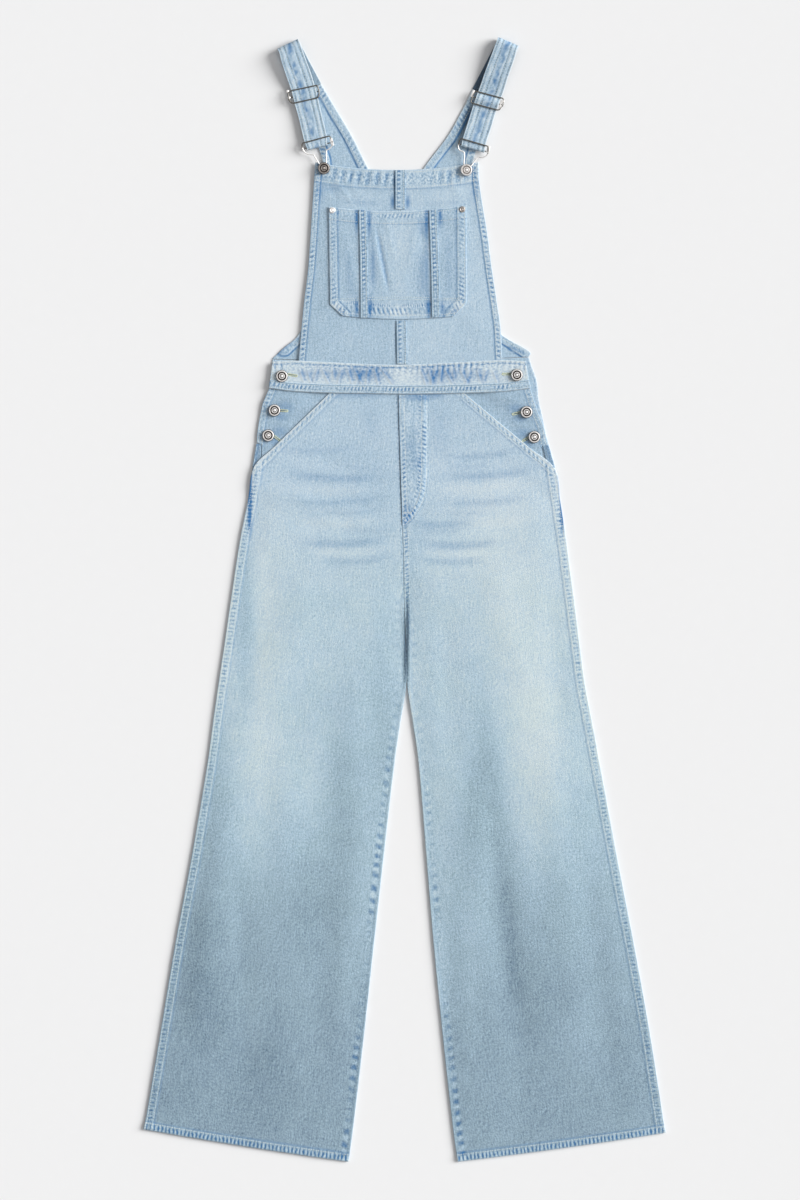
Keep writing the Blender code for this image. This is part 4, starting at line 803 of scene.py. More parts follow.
# Hips, plackets and fly
buttonholeEnds = {"left": ((296.5, 376.0), (287.0, 411.0), (281.0, 441.5)), "right": ((503.0, 374.3), (513.0, 414.3), (523.0, 441.0))}
for side, hip, slant, placket, sign in (("left", leftHip, leftSlant, leftPlacket, -1), ("right", rightHip, rightSlant, rightPlacket, 1)):
    buttons = ((-181.9, 264.6), (-190.7, 229.5)) if side == "left" else ((170.7, 262.2), (181.6, 227.4))
    creases = []
    for bx, by in buttons:
        creases += [(bx - sign * 6, by + 14, bx - sign * 34, by + 20, 3.2, 0.35), (bx - sign * 4, by - 10, bx - sign * 30, by - 22, 3.0, -0.3)]
    spec = {"wash": 0.53, "dye": 0.08, "columns": 44, "step": 1.6, "smooth": False, "rumple": 0.14, "creases": creases,
            "blues": [(bx - sign * 15, by + 5, 11, 7, 0.35) for bx, by in buttons]
            + [(bx - sign * 9, by - 9, 10, 5, 0.35) for bx, by in buttons],
            "shadowLinesAndSlits": [(bx, by, *seen(*end), 0, 0.9, 1.6) for (bx, by), end in zip(buttons, buttonholeEnds[side][1:])],
            "seams": [{"line": edgeA(hip[:6]), "width": 9.0, "rise": 0.3, "rows": (2.2, 8.0), "pucker": 0.14, "spacing": 6.5,
                       "blue": 0.4, "seed": 51}],
            "calm": lambda x, y: ease(292.0, 282.0, y)}
    clothPiece("hip_panel_" + side, hip, spec, hipUnder(slant))
    fine = moreSections(hip[:6], 3.0, False)
    lines = [offsetLine(fine, "a", 2.4, 0.14), offsetLine(fine, "a", 8.0, 0.14)]
    sew("hip_panel_" + side, lines)
    for (bx, by), end in zip(buttons, buttonholeEnds[side][1:]):
        sewButtonhole("hip_panel_" + side, (bx - sign * 7, by), seen(*end))
    spec = {"wash": 0.36, "dye": 0.2, "columns": 6, "step": 2.0, "edges": [0.0, 0.15, 0.5, 1.2, 2.2], "smooth": False,
            "seams": [{"line": edgeA(placket), "width": 2.0, "rise": 0.1, "pucker": 0.08, "spacing": 5.0, "blue": 0.2}]}
    clothPiece("side_placket_" + side, placket, spec, level(1.5))

legTop = made["front_leg_right"]["surface"]


def flyUnder(x, y):  # the fly lies on the right leg and its outer edge melts into it
    return legTop(x, y) + 0.1


flyEdge = edgeB(fly)
spec = {"wash": 0.62, "dye": 0.06, "columns": 34, "step": 1.6, "wall": 1.0, "edges": smallEdges, "rumple": 0.08,
        "rise": lambda x, y: -0.95 * (1 - ease(0.0, 9.0, toLine(x, y, flyEdge)[0])),
        "blues": [(*seen(417, 397), 24, 5, 0.5), (*seen(428, 399), 8, 5, 0.3), (*seen(409, 446), 12, 13, 0.22),
                  (*seen(417, 463), 11, 12, 0.26), (*seen(407, 508), 10, 8, 0.3), (*seen(409, 524), 9, 13, 0.4),
                  (*seen(418, 432), 7, 10, 0.12)],
        "fades": [(*seen(409, 418), 8, 16, 0.14), (*seen(412, 488), 8, 14, 0.10)], "mottle": 0.6,
        "streaks": [(10, 285, 12, 170, 0, 2.5, -0.10), (19, 285, 19, 180, 0, 3, 0.12), (24, 270, 23, 190, 0, 1.6, -0.08)]
        + marks([(401.5, 514.0, 413, 512.6)], 0, 0.9, 0.6) + marks([(401.5, 516.5, 412, 515.4)], 0, 0.9, -0.5),
        # painted shadow along the fly's lapped left edge
        "shadowLinesAndSlits": [(-6.8, 286, -4.6, 120, 0, 0.8, 0.3)],
        "seams": [{"line": edgeA(fly), "pale": 0.0, "rows": (2.4, 7.6), "pucker": 0.10, "spacing": 6.4,
                   "blue": 1.0, "centre": 5.0, "half": 2.4, "seed": 71},
                  {"line": flyEdge, "rows": (3.2, 10.5), "pucker": 0.10, "spacing": 6.4, "blue": 0.9, "centre": 6.8,
                   "half": 3.2, "seed": 75},
                  {"line": flyEdge, "pucker": 0.08, "spacing": 5.2, "blue": 0.7, "centre": 13.0, "half": 2.6, "seed": 79}]}
clothPiece("fly", fly, spec, flyUnder)
fine = made["fly"]["rows"]
sew("fly", [offsetLine(fine, "a", 2.4, 0.0, 0.97), offsetLine(fine, "a", 7.6, 0.0, 0.9), offsetLine(fine, "b", 3.2, 0.0, 0.97),
            offsetLine(fine, "b", 10.5, 0.0, 0.86), np.array([seen(402.5, 513.5), seen(412.0, 512.0)])])
print("hips and fly made")

# Waistband and its strip
bandTop, bandBottom = edgeA(waistband), edgeB(waistband)
bandCreases = marks([(300, 371, 304, 383), (308, 373, 311, 385), (317, 370, 313, 383), (323, 371, 330, 386), (333, 370, 334, 381),
                     (341, 372, 337, 386), (348, 370, 352, 385), (354, 369, 363, 387), (361, 371, 355, 385), (368, 370, 366, 386),
                     (375, 370, 379, 388), (382, 370, 394, 386), (421, 370, 427, 388), (428, 370, 433, 386), (435, 371, 430, 386),
                     (441, 369, 439, 386), (446, 371, 453, 385), (453, 369, 454, 380), (461, 371, 467, 384), (470, 371, 465, 386),
                     (477, 370, 481, 384), (486, 371, 482, 383), (493, 372, 498, 384)], 1.3, 0.42, 0.8)
bandCreases = [(1.35 * x0 - 0.35 * x1, 1.35 * y0 - 0.35 * y1, 1.15 * x1 - 0.15 * x0, 1.15 * y1 - 0.15 * y0, *rest)
               for x0, y0, x1, y1, *rest in bandCreases]
spec = {"wash": 0.90, "dye": 0.02, "columns": 26, "step": 1.2, "mottle": 0.6, "edges": smallEdges, "grain": 90.0, "rumple": 0.12,
        "ridges": bandCreases,
        "blueStreaks": [(x0 + 2.6, y0, x1 + 2.6, y1, 0, 2.5, 0.42) for x0, y0, x1, y1, *_ in bandCreases],
        "blues": [(*seen(340, 373), 40, 8, 0.34), (*seen(372, 374), 28, 10, 0.42), (*seen(440, 375), 30, 11, 0.45),
                  (*seen(478, 376), 22, 8, 0.3), (*seen(306, 373), 14, 7, 0.25)],
        "shadowLinesAndSlits": [(*seen(*start), *seen(*end), 0, 0.9, 1.6)
                  for start, end in (((285, 374), (296.5, 376)), ((515, 374), (503, 374.3)))],
        "fades": [(*seen(405, 374), 16, 10, 0.16), (*seen(280, 384), 18, 8, 0.16), (*seen(515, 366), 16, 8, 0.14)],
        "seams": [{"line": bandTop, "width": 3.6, "rise": 0.1, "rows": (2.6,), "pucker": 0.2, "spacing": 7.6, "blue": 0.6,
                   "centre": 7.0, "half": 8.0, "slant": 0.12, "seed": 81, "deep": 0.4, "spots": 1.0, "dark": (3.6,)}]}
clothPiece("waistband", waistband, spec, level(4.5))
fine = made["waistband"]["rows"]
sew("waistband", [offsetLine(fine, "a", 2.6), offsetLine(fine, "start", 2.6), offsetLine(fine, "end", 2.6)])
sewButtonhole("waistband", seen(288, 374.5), seen(296.5, 376.0))
sewButtonhole("waistband", seen(511, 374.2), seen(503.0, 374.3))
length = np.hypot(waistband[:, 2] - waistband[:, 0], waistband[:, 3] - waistband[:, 1])
strip = []
for row, reach in zip(waistband, length):
    ends = [np.array(row[:2]) + (np.array(row[2:4]) - np.array(row[:2])) * t for t in (1 - 12.3 / reach, 1 - 0.8 / reach)]
    strip.append((*ends[0], *ends[1]))
strip = table(*strip)
spec = {"wash": 0.60, "columns": 10, "step": 1.3, "wall": 1.0, "edges": smallEdges, "grain": 90.0, "rumple": 0.05,
        "seams": [{"line": edgeA(strip), "width": 2.0, "rise": 0.1, "rows": (2.6,), "pucker": 0.2, "spacing": 5.4, "blue": 1.0,
                   "centre": 5.6, "half": 2.8, "slant": 0.3, "seed": 87, "pale": 0.2, "deep": 0.05, "dark": (1.6, 9.0)},
                  {"line": edgeB(strip), "width": 2.0, "rise": 0.1, "rows": (2.6,), "pucker": 0.0, "blue": 0.0, "pale": 0.2,
                   "deep": 0.05}]}
clothPiece("waistband_strip", strip, spec, level(6.0))
fine = made["waistband_strip"]["rows"]
sew("waistband_strip", [offsetLine(fine, "a", 2.6), offsetLine(fine, "b", 2.6)])
print("waistband made")

# Bib, its pocket and the lapped strips


def bibHalf(left):
    rows = []
    for ax, ay, bx, by, dip in bib:
        share = (bibCentre - ax) / (bx - ax)
        centreY = ay + (by - ay) * share - dip * 4 * share * (1 - share)
        own = share if left else 1 - share
        rows.append((ax, ay, bibCentre - 0.15, centreY, dip * own * own) if left
                    else (bx, by, bibCentre + 0.15, centreY, dip * own * own))
    return table(*rows)


bibTopLine = crossLine(bib[0], 15)
bibCreases = {"left": [(-96, 588, -70, 548, 3.5, 0.35), (-108, 590, -92, 552, 4.5, -0.3), (-84, 592, -60, 560, 5.0, 0.25)],
              "right": [(60, 592, 80, 560, 5.0, 0.2), (100, 560, 112, 470, 6.0, 0.3)]}
for side in ("left", "right"):
    rows = bibHalf(side == "left")
    spec = {"wash": 0.59 if side == "left" else 0.68, "dye": 0.05, "columns": 60, "step": 2.0, "rumple": 0.14,
            "creases": bibCreases[side],
            "fades": [(-70 if side == "left" else 60, 560, 40, 20, 0.08), (-60, 360, 60, 30, 0.05)],
            "blues": [(bibCentre - 10.5, 556, 3, 9, 0.8), (bibCentre + 10.5, 556, 3, 9, 0.8), (-60, 555, 26, 4, 0.2),
                      (60, 555, 30, 4, 0.16), (-100, 574, 14, 4, 0.3), (-118, 570, 6, 14, 0.3), (98, 570, 6, 14, 0.3)],
            # painted shadows along the left edges of the two centre strips
            "shadowLinesAndSlits": [(-14.0, 602, -13.7, 546, 0, 0.8, 1.2), (-12.3, 390, -11.6, 330, 0, 0.8, 1.0)],
            "rise": bibRise,
            "seams": [{"line": edgeA(rows), "width": 8.6, "rise": 0.4, "rows": (2.2, 7.6), "pucker": 0.13, "spacing": 6.5,
                       "blue": 0.95, "half": 2.8, "seed": 91 if side == "left" else 95,
                       "pale": 0.24, "deep": 0.5, "dark": (1.6, 8.8)},
                      {"line": bibTopLine, "width": 26.0, "rise": 0.0, "rows": (3.2, 24.4), "pucker": 0.22, "spacing": 12.0,
                       "blue": 0.5, "centre": 13.0, "half": 10.0, "slant": 0.15, "seed": 97, "spots": 1.2, "deep": 0.4}],
            "calm": lambda x, y: ease(334.0, 350.0, y)}
    clothPiece("bib_" + side, rows, spec, bibUnder)
    fine = made["bib_" + side]["rows"]
    lines = [offsetLine(fine, "a", 2.4, 0.0, 0.93), offsetLine(fine, "a", 7.6, 0.0, 0.93),
             offsetLine(fine, "start", 3.2, 0.0, 0.94), offsetLine(fine, "start", 24.4, 0.0, 0.94)]
    sew("bib_" + side, lines)

pocketBottom = crossLine(pocket[-1], 15)
pocketTop = crossLine(pocket[0], 15)
spec = {"wash": 0.62, "dye": 0.06, "columns": 108, "step": 1.7, "mottle": 0.35, "rumple": 0.14, "smooth": False,
        "creases": [(-41, 530, -20, 420, 3.0, -0.85), (-47, 540, -30, 430, 6.0, 0.35), (18, 530, -6, 430, 8.0, 0.25),
                    (-88, 520, -70, 440, 6.0, 0.3), (-28, 545, -14, 470, 4.0, 0.3), (22, 540, 26, 470, 4.0, -0.3)],
        "fades": [(-8, 480, 24, 70, 0.12), (-85, 480, 16, 60, -0.04), (65, 480, 16, 60, -0.02),
                  (-96, 408, 9, 7, 0.4), (78, 408, 9, 7, 0.4), (-10, 402, 14, 7, 0.25)],
        "blues": [(-67, 533, 2.6, 18, 1.0), (-49.5, 528, 2.6, 22, 0.8), (31, 530, 3, 22, 0.9), (50, 535, 3, 14, 0.8),
                  (-67, 408, 2.6, 14, 0.8), (-48, 408, 3.4, 14, 0.95), (34, 408, 3.4, 16, 0.95), (53, 408, 3, 12, 0.7),
                  (-44, 470, 2, 40, 0.3), (31, 470, 2, 40, 0.3), (-90, 400, 10, 6, 0.3), (70, 402, 10, 6, 0.35)],
        "blueStreaks": [(-41, 530, -20, 420, 0, 2.4, 0.4), (-44, 500, -44, 430, 0, 7, 0.2), (-60, 500, -60, 430, 0, 30, 0.03),
                        (26, 500, 26, 410, 0, 8, 0.25), (-82, 500, -72, 410, 0, 6, 0.16), (60, 530, 64, 400, 0, 6, 0.16),
                        (20, 540, 28, 500, 0, 5, 0.3), (-4, 520, 0, 440, 0, 4, -0.1)],
        "seams": [{"line": edgeA(pocket), "width": 11.5, "rise": 0.3, "rows": (2.2, 10.2), "pucker": 0.12, "spacing": 6.0, "blue": 0.8,
                   "half": 3.4, "seed": 101, "pale": 0.24, "deep": 0.5, "dark": (1.4, 11.4)},
                  {"line": edgeB(pocket), "width": 13.0, "rise": 0.3, "rows": (2.2, 11.6), "pucker": 0.12, "spacing": 6.0, "blue": 0.8,
                   "half": 3.8, "seed": 103, "pale": 0.24, "deep": 0.5, "dark": (1.4, 12.8)},
                  {"line": pocketTop, "width": 17.0, "rise": 0.3, "rows": (3.4, 17.0), "pucker": 0.14, "spacing": 5.4, "blue": 1.0,
                   "centre": 6.6, "half": 3.4, "seed": 105, "pale": 0.3, "dark": (2.2,)},
                  {"line": pocketBottom, "rows": (5.5, 17.5, 20.5), "pucker": 0.16, "spacing": 6.5, "blue": 0.8,
                   "centre": 11.0, "half": 5.0, "seed": 107},
                  {"line": pocketBottom, "pucker": 0.05, "spacing": 3.2, "blue": 0.95, "centre": 19.0, "half": 2.4,
                   "slant": 0.0, "seed": 108}]}
clothPiece("bib_pocket", pocket, spec, onBib)
fine = moreSections(pocket, 2.0, False)
upper = moreSections(pocket[:5], 2.0, False)
sew("bib_pocket", [offsetLine(fine, "a", 2.4), offsetLine(fine, "b", 2.4), offsetLine(fine, "a", 10.2), offsetLine(fine, "b", 11.6),
                   offsetLine(fine, "start", 3.4), offsetLine(fine, "start", 17.0), offsetLine(fine, "end", 5.5, 0.03, 0.97),
                   offsetLine(upper, "end", 17.5, 0.06, 0.94), offsetLine(upper, "end", 20.5, 0.06, 0.94)])

for node, rows, under, wash, base in (("pocket_strip_left", pocketStripLeft, onPocket, 0.62, "bib_pocket"),
                                      ("pocket_strip_right", pocketStripRight, onPocket, 0.60, "bib_pocket"),
                                      ("bib_seam_top", bibSeamTop, onBib, 0.60, "bib_left"),
                                      ("bib_seam_bottom", bibSeamBottom, onBib, 0.62, "bib_left")):
    spec = {"wash": wash, "columns": 10, "step": 1.8, "wall": 1.0, "edges": smallEdges, "rumple": 0.05,
            "seams": [{"line": edgeA(rows), "width": 2.0, "rise": 0.08, "rows": (2.3,), "pucker": 0.12, "spacing": 6.0, "blue": 1.0,
                       "centre": 5.2, "half": 2.4, "slant": 0.2, "seed": 111, "pale": 0.1, "deep": 0.06, "dark": (0.8, 3.2)},
                      {"line": edgeB(rows), "width": 2.0, "rise": 0.08, "rows": (2.3,), "pucker": 0.0, "blue": 0.0, "pale": 0.1,
                       "deep": 0.06, "dark": (0.8, 3.2)}]}
    if node == "bib_seam_bottom":
        spec["calm"] = lambda x, y: ease(334.0, 350.0, y)
    clothPiece(node, rows, spec, under)
    fine = made[node]["rows"]
    sew(node, [offsetLine(fine, "a", 2.3), offsetLine(fine, "b", 2.3)])
print("bib made")

# Straps
strapShape = {"lift": 6.2, "wall": 1.2, "tail": 3.5, "wrapRadius": 1.9, "barHeight": 5.4, "tailEnd": 4.4,
              "rows": (2.6, 9.6, 23.4, 30.4), "width": 33.0}
leftStrap = {"back": (-146.1, 707.0, -117.0, 722.5, 0.6), "fold": (-178.1, 770.1, -149.1, 783.9, 13.0),
             "front": [(-172.2, 751.8, -140.6, 762.0, 12.0), (-165.2, 730.8, -132.6, 740.4, 9.3),
                       (-160.6, 717.8, -127.6, 725.6, 6.8), (-158.3, 711.2, -125.5, 718.5, 6.2),
                       (-156.1, 702.8, -123.0, 710.1, 8.3), (-154.0, 694.0, -121.1, 701.4, 6.2),
                       (-147.7, 671.3, -115.9, 679.0, 6.0), (-139.9, 638.8, -108.8, 646.9, 7.3)],
             "wrap": (-135.8, 628.5, -107.8, 635.2, 5.4)}
rightStrap = {"back": (95.1, 714.9, 124.8, 701.0, 0.6), "fold": (131.2, 786.5, 159.7, 774.3, 13.0),
              "front": [(121.8, 762.3, 153.4, 755.0, 12.0), (112.8, 738.2, 144.6, 730.0, 9.3),
                        (105.8, 718.4, 138.2, 709.4, 6.8), (102.9, 710.5, 135.1, 701.8, 6.2),
                        (99.7, 701.8, 131.8, 692.8, 8.3), (96.6, 693.1, 128.5, 684.2, 6.2),
                        (88.5, 667.1, 120.6, 658.3, 6.0), (81.2, 644.0, 113.2, 634.9, 7.3)],
              "wrap": (79.0, 634.2, 111.3, 625.1, 5.4)}


def strapPath(strap):  # centre sections, from the back panel over the fold and round the buckle's bar
    path = []

    def add(left, right, z):
        path.append(np.array([left[0], left[1], z, right[0], right[1], z], float))

    def turn(line, radius, height, start, end, steps, upward):
        left, right = np.array(line[0:2]), np.array(line[2:4])
        width = (right - left) / np.linalg.norm(right - left)
        out = np.array([-width[1], width[0]]) * upward
        for index in range(steps + 1):
            angle = math.radians(start + (end - start) * index / steps)
            move = out * (radius * math.cos(angle) - radius - 0.5 * strapShape["wall"])
            add(left + move, right + move, height + radius * math.sin(angle))

    back = strap["back"]
    add(back[0:2], back[2:4], back[4])
    turn(strap["fold"], strapShape["lift"], 0.5 * strapShape["wall"] + strapShape["lift"], -90.0, 90.0, 8, 1.0)
    for row in strap["front"]:
        add(row[0:2], row[2:4], row[4])
    turn(strap["wrap"], strapShape["wrapRadius"], strapShape["barHeight"], 90.0, -90.0, 6, -1.0)
    tail = [row for row in strap["front"][::-1] if row[1] > strap["wrap"][1]]
    for row, z in zip(tail[:3], (strapShape["tail"], strapShape["tail"], strapShape["tailEnd"])):
        add(row[0:2], row[2:4], z)
    return np.array(path)


def finePath(path, step):
    made = []
    for index in range(len(path) - 1):
        p1, p2 = path[index], path[index + 1]
        p0, p3 = path[max(index - 1, 0)], path[min(index + 2, len(path) - 1)]
        pieces = max(1, round(float(np.linalg.norm((p2 - p1)[:3])) / step))
        made += [between(p0, p1, p2, p3, k / pieces, True) for k in range(pieces)]
    made.append(path[-1])
    return np.array(made)


def makeStrap(node, strap, seed):
    path = finePath(strapPath(strap), 1.5)
    left, right = path[:, 0:3], path[:, 3:6]
    middle = (left + right) / 2
    tangent = np.gradient(middle, axis=0)
    normal = np.cross(tangent, right - left)
    normal /= np.linalg.norm(normal, axis=1)[:, None]
    along = np.concatenate([[0.0], np.cumsum(np.linalg.norm(np.diff(middle, axis=0), axis=1))])[:, None]
    width = np.linalg.norm(right - left, axis=1)[:, None]
    across = np.concatenate([[0.0, 0.15, 0.5, 1.0], np.linspace(1.8, 31.2, 27), [32.0, 32.5, 32.85, 33.0]]) / 33.0
    offset = across[None, :] * strapShape["width"]
    lift, wash = np.zeros((len(path), len(across))), np.full((len(path), len(across)), 0.62)
    dye = np.zeros(wash.shape)
    for row in strapShape["rows"]:
        near = np.exp(-((offset - row) / 0.9) ** 2)
        lift -= 0.34 * near
        wash -= 0.46 * near
        dye += 0.10 * near
        wash += 0.18 * np.exp(-((offset - row - 2.6) / 1.3) ** 2) + 0.18 * np.exp(-((offset - row + 2.6) / 1.3) ** 2)
    wash += 0.22 * np.exp(-(np.minimum(offset, 33 - offset) / 1.2) ** 2)
    wander = 16.5 + 1.4 * softNoise(along, along * 0, 18.0, seed) - 2.4 * ease(70.0, 130.0, along) * (1 if seed == 5 else -0.4)
    broken = np.clip(0.6 + 1.0 * softNoise(along + 0.5 * offset, offset, 5.0, seed + 2), 0.0, 1.0)
    streak = np.exp(-((offset - wander) / 3.2) ** 2) * broken
    dye += 0.7 * streak
    dye += 0.35 * np.maximum(0.0, softNoise(along * 0.4, offset, 3.2, seed + 6)) * (np.abs(offset - 16.5) < 6.5)
    if seed == 15:
        wash -= 0.9 * ease(95.0, 60.0, along)  # the shaded side of the fold
    wash += 0.14 * softNoise(along * 0.5 + offset * 0.3, offset, 3.4, seed + 4)
    lift -= 0.16 * streak
    lift += 0.08 * softNoise(along, offset, 6.0, seed + 3)
    dye = np.clip(dye, 0.0, 1.0)
    half = 0.5 * strapShape["wall"]
    fromEdge = np.minimum(np.minimum(offset, 33 - offset) * width / 33.0, np.minimum(along, along[-1] - along))
    radius = half * 0.84
    roll = radius * (1 - np.sqrt(1 - (1 - np.clip(fromEdge / radius, 0.0, 1.0)) ** 2))
    base = left[:, None, :] + (right - left)[:, None, :] * across[None, :, None]
    outer = base + normal[:, None, :] * (half + 0.25 + lift - roll)[:, :, None]
    inner = base - normal[:, None, :] * (half - roll)[:, :, None]
    grain = np.stack([offset + along * 0, along + offset * 0], axis=-1)
    painted = {"wash": wash, "dye": dye, "seam": 0.35 * np.ones(wash.shape), "rungs": 0.0 * wash}
    # the inner face darkens towards the back end as painted shade inside the fold, more on the right strap
    inside = 0.6 - (0.75 if seed == 15 else 0.3) * ease(100.0, 60.0, along) + 0 * wash
    piece = shellMesh(node + "_cloth", outer, inner, painted, inside, grain, denimCloth)
    finishPiece(piece, [node])
    # stitches stand in the four grooves, on the outer face
    centres, heads, ups = [], [], []
    for row in strapShape["rows"]:
        share = row / 33.0
        line = left + (right - left) * share + normal * (half + 0.25 - 0.30)
        joined = np.concatenate([line, normal], axis=1)
        lengths = np.concatenate([[0.0], np.cumsum(np.linalg.norm(np.diff(line, axis=0), axis=1))])
        spots = np.arange(2.0, lengths[-1] - 2.0, stitching["pitch"])
        points = np.stack([np.interp(spots, lengths, joined[:, k]) for k in range(6)], axis=1)
        ahead = np.gradient(points[:, :3], axis=0)
        centres.append(points[:, :3])
        heads.append(ahead / np.linalg.norm(ahead, axis=1)[:, None])
        ups.append(points[:, 3:] / np.linalg.norm(points[:, 3:], axis=1)[:, None])
    stitches = stitchMesh(node + "_stitches", np.concatenate(centres), np.concatenate(heads), np.concatenate(ups),
                          stitching["length"], 0.55, 0.26, thread)
    finishPiece(stitches, [])


makeStrap("strap_left", leftStrap, 5)
makeStrap("strap_right", rightStrap, 15)
print("straps made")

# Buttons, rivets, sliders and buckles
button = {"slope": 0.7, "rim": 1.5, "height": 3.0, "sunk": 0.9, "groove": 1.2}


def deselect():
    if bpy.context.object and bpy.context.object.mode != "OBJECT":
        bpy.ops.object.mode_set(mode="OBJECT")
    bpy.ops.object.select_all(action="DESELECT")


def pickFace(obj, up):  # leaves the one highest or lowest cap selected, in edit mode
    bpy.ops.object.mode_set(mode="EDIT")
    bpy.ops.mesh.select_mode(type="FACE")
    body = bmesh.from_edit_mesh(obj.data)
    caps = [f for f in body.faces if abs(f.normal.z) > 0.9 and (f.normal.z > 0) == up]
    best = max(caps, key=lambda f: f.calc_center_median().z * (1 if up else -1))
    for face in body.faces:
        face.select = face == best
    body.select_flush_mode()
    bmesh.update_edit_mesh(obj.data)


def finishHard(obj, name, material, bevel, angle=30.0):
    bpy.ops.object.mode_set(mode="OBJECT")
    if bevel:
        rounded = obj.modifiers.new("rounded", "BEVEL")
        rounded.width, rounded.segments, rounded.limit_method = bevel * mm, 2, "ANGLE"
        rounded.angle_limit = math.radians(angle)
        bpy.ops.object.modifier_apply(modifier=rounded.name)
    bpy.ops.object.transform_apply(location=True, rotation=True, scale=True)
    bpy.ops.object.shade_smooth_by_angle(angle=math.radians(40.0))
    obj.name = obj.data.name = name
    obj.data.materials.clear()
    obj.data.materials.append(material)
    return obj


def insets(*steps):  # each step goes inwards and then up or down, in mm
    for thickness, depth in steps:
        bpy.ops.mesh.inset(thickness=thickness * mm, depth=depth * mm)


def makeButton(node, material, hollow):
    low, high = (np.array(v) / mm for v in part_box(node))
    centre, radius = (low + high) / 2, (high[0] - low[0]) / 2 - 0.05
    shank = high[2] - low[2] - button["height"] - 0.3
    deselect()
    bpy.ops.mesh.primitive_cylinder_add(vertices=44, radius=radius * mm, depth=1.2 * mm,
                                        location=(centre[0] * mm, centre[1] * mm, (low[2] + shank + 0.6) * mm))
    obj = bpy.context.object
    pickFace(obj, True)
    insets((button["slope"], 1.1), (button["rim"], 0.25), (0.4, -button["sunk"]), (button["groove"], -0.1),
           (0.4, 0.8), (1.2, 0.15), (0.3, -0.5), (0.5, 0.0), (0.3, 0.5), (0.6, 0.25))
    pickFace(obj, False)
    insets((radius - 2.5, 0.0))
    bpy.ops.mesh.extrude_region_move(TRANSFORM_OT_translate={"value": (0, 0, -shank * mm)})
    obj = finishHard(obj, node + "_metal", material, 0.12)
    obj.data.materials.append(hollow)
    rimTop = max(v.co.z for v in obj.data.vertices) / mm
    for face in obj.data.polygons:  # the groove and the small ring are dark oxide; the outer slope is darkened as painted rim shade
        x, y, z = face.center / mm
        reach = math.hypot(x - centre[0], y - centre[1])
        sunk = reach < radius - button["slope"] - button["rim"] and z < rimTop - 0.4
        if sunk or reach > radius - 0.7 * button["slope"]:
            face.material_index = 1
    finishPiece(obj, [node])
    return obj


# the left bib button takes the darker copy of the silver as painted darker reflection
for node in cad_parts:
    if "button" in node:
        makeButton(node, dimReflectionSilver if node == "bib_button_left" else silver, dimReflectionSilver if node == "bib_button_right" else oxideAndRimShade)


def makeRivet(node, material):
    low, high = (np.array(v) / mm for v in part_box(node))
    centre = (low + high) / 2
    radius = (high[0] - low[0]) / 2
    deselect()
    bpy.ops.mesh.primitive_cylinder_add(vertices=28, radius=radius * mm, depth=0.7 * mm,
                                        location=(centre[0] * mm, centre[1] * mm, (low[2] + 0.35) * mm))
    obj = bpy.context.object
    pickFace(obj, True)
    insets((0.7, 0.6), (0.9, 0.15), (0.7, -0.45), (0.4, 0.0), (0.5, 0.5))
    obj = finishHard(obj, node + "_metal", material, 0.1)
    finishPiece(obj, [node])


makeRivet("rivet_left", silver)
# the right rivet takes the darker copy of the silver as painted darker reflection
makeRivet("rivet_right", dimReflectionSilver)
print("buttons and rivets made")


def roundCorners(points, radius, steps, closed):
    places = [Vector(point) for point in points]
    count = len(places)
    line = []
    for index, place in enumerate(places):
        if not closed and index in (0, count - 1):
            line.append(place)
            continue
        before, after = places[index - 1], places[(index + 1) % count]
        start = place + (before - place).normalized() * min(radius, 0.45 * (before - place).length)
        end = place + (after - place).normalized() * min(radius, 0.45 * (after - place).length)
        line += [start * (1 - t) ** 2 + place * (2 * t * (1 - t)) + end * t ** 2
                 for t in (k / steps for k in range(steps + 1))]
    return line


def bentWire(name, points, thickness, closed, material):
    deselect()
    curve = bpy.data.curves.new(name, "CURVE")
    curve.dimensions = "3D"
    curve.bevel_depth, curve.bevel_resolution, curve.use_fill_caps = thickness * 0.5 * mm, 3, True
    spline = curve.splines.new("POLY")
    spline.points.add(len(points) - 1)
    for spot, place in zip(spline.points, points):
        spot.co = (place[0] * mm, place[1] * mm, place[2] * mm, 1.0)
    spline.use_cyclic_u = closed
    obj = bpy.data.objects.new(name, curve)
    bpy.context.collection.objects.link(obj)
    bpy.context.view_layer.objects.active = obj
    obj.select_set(True)
    bpy.ops.object.convert(target="MESH")
    obj = bpy.context.object
    obj.data.shade_smooth()
    obj.data.materials.clear()
    obj.data.materials.append(material)
    return obj


def tab(name, centre, size, turn, hole):  # a thin bevelled tab, with a punched hole where hole gives its radius
    deselect()
    bpy.ops.mesh.primitive_cube_add(size=1.0, location=[v * mm for v in centre], rotation=(0, 0, math.radians(turn)),
                                    scale=[v * mm for v in size])
    obj = bpy.context.object
    bpy.ops.object.transform_apply(location=True, rotation=True, scale=True)
    if hole:
        bpy.ops.mesh.primitive_cylinder_add(vertices=20, radius=hole * mm, depth=6 * mm, location=[v * mm for v in centre])
        punch = bpy.context.object
        deselect()
        bpy.context.view_layer.objects.active = obj
        obj.select_set(True)
        cut = obj.modifiers.new("hole", "BOOLEAN")
        cut.operation, cut.object = "DIFFERENCE", punch
        bpy.ops.object.modifier_apply(modifier=cut.name)
        bpy.data.objects.remove(punch, do_unlink=True)
    return finishHard(obj, name, silver, 0.3)


def knob(name, centre, radius):  # a small domed bead
    deselect()
    bpy.ops.mesh.primitive_cylinder_add(vertices=20, radius=radius * mm, depth=0.8 * mm, location=[v * mm for v in centre])
    obj = bpy.context.object
    pickFace(obj, True)
    insets((0.3 * radius, 0.5), (0.3 * radius, 0.25))
    return finishHard(obj, name, silver, 0.1)


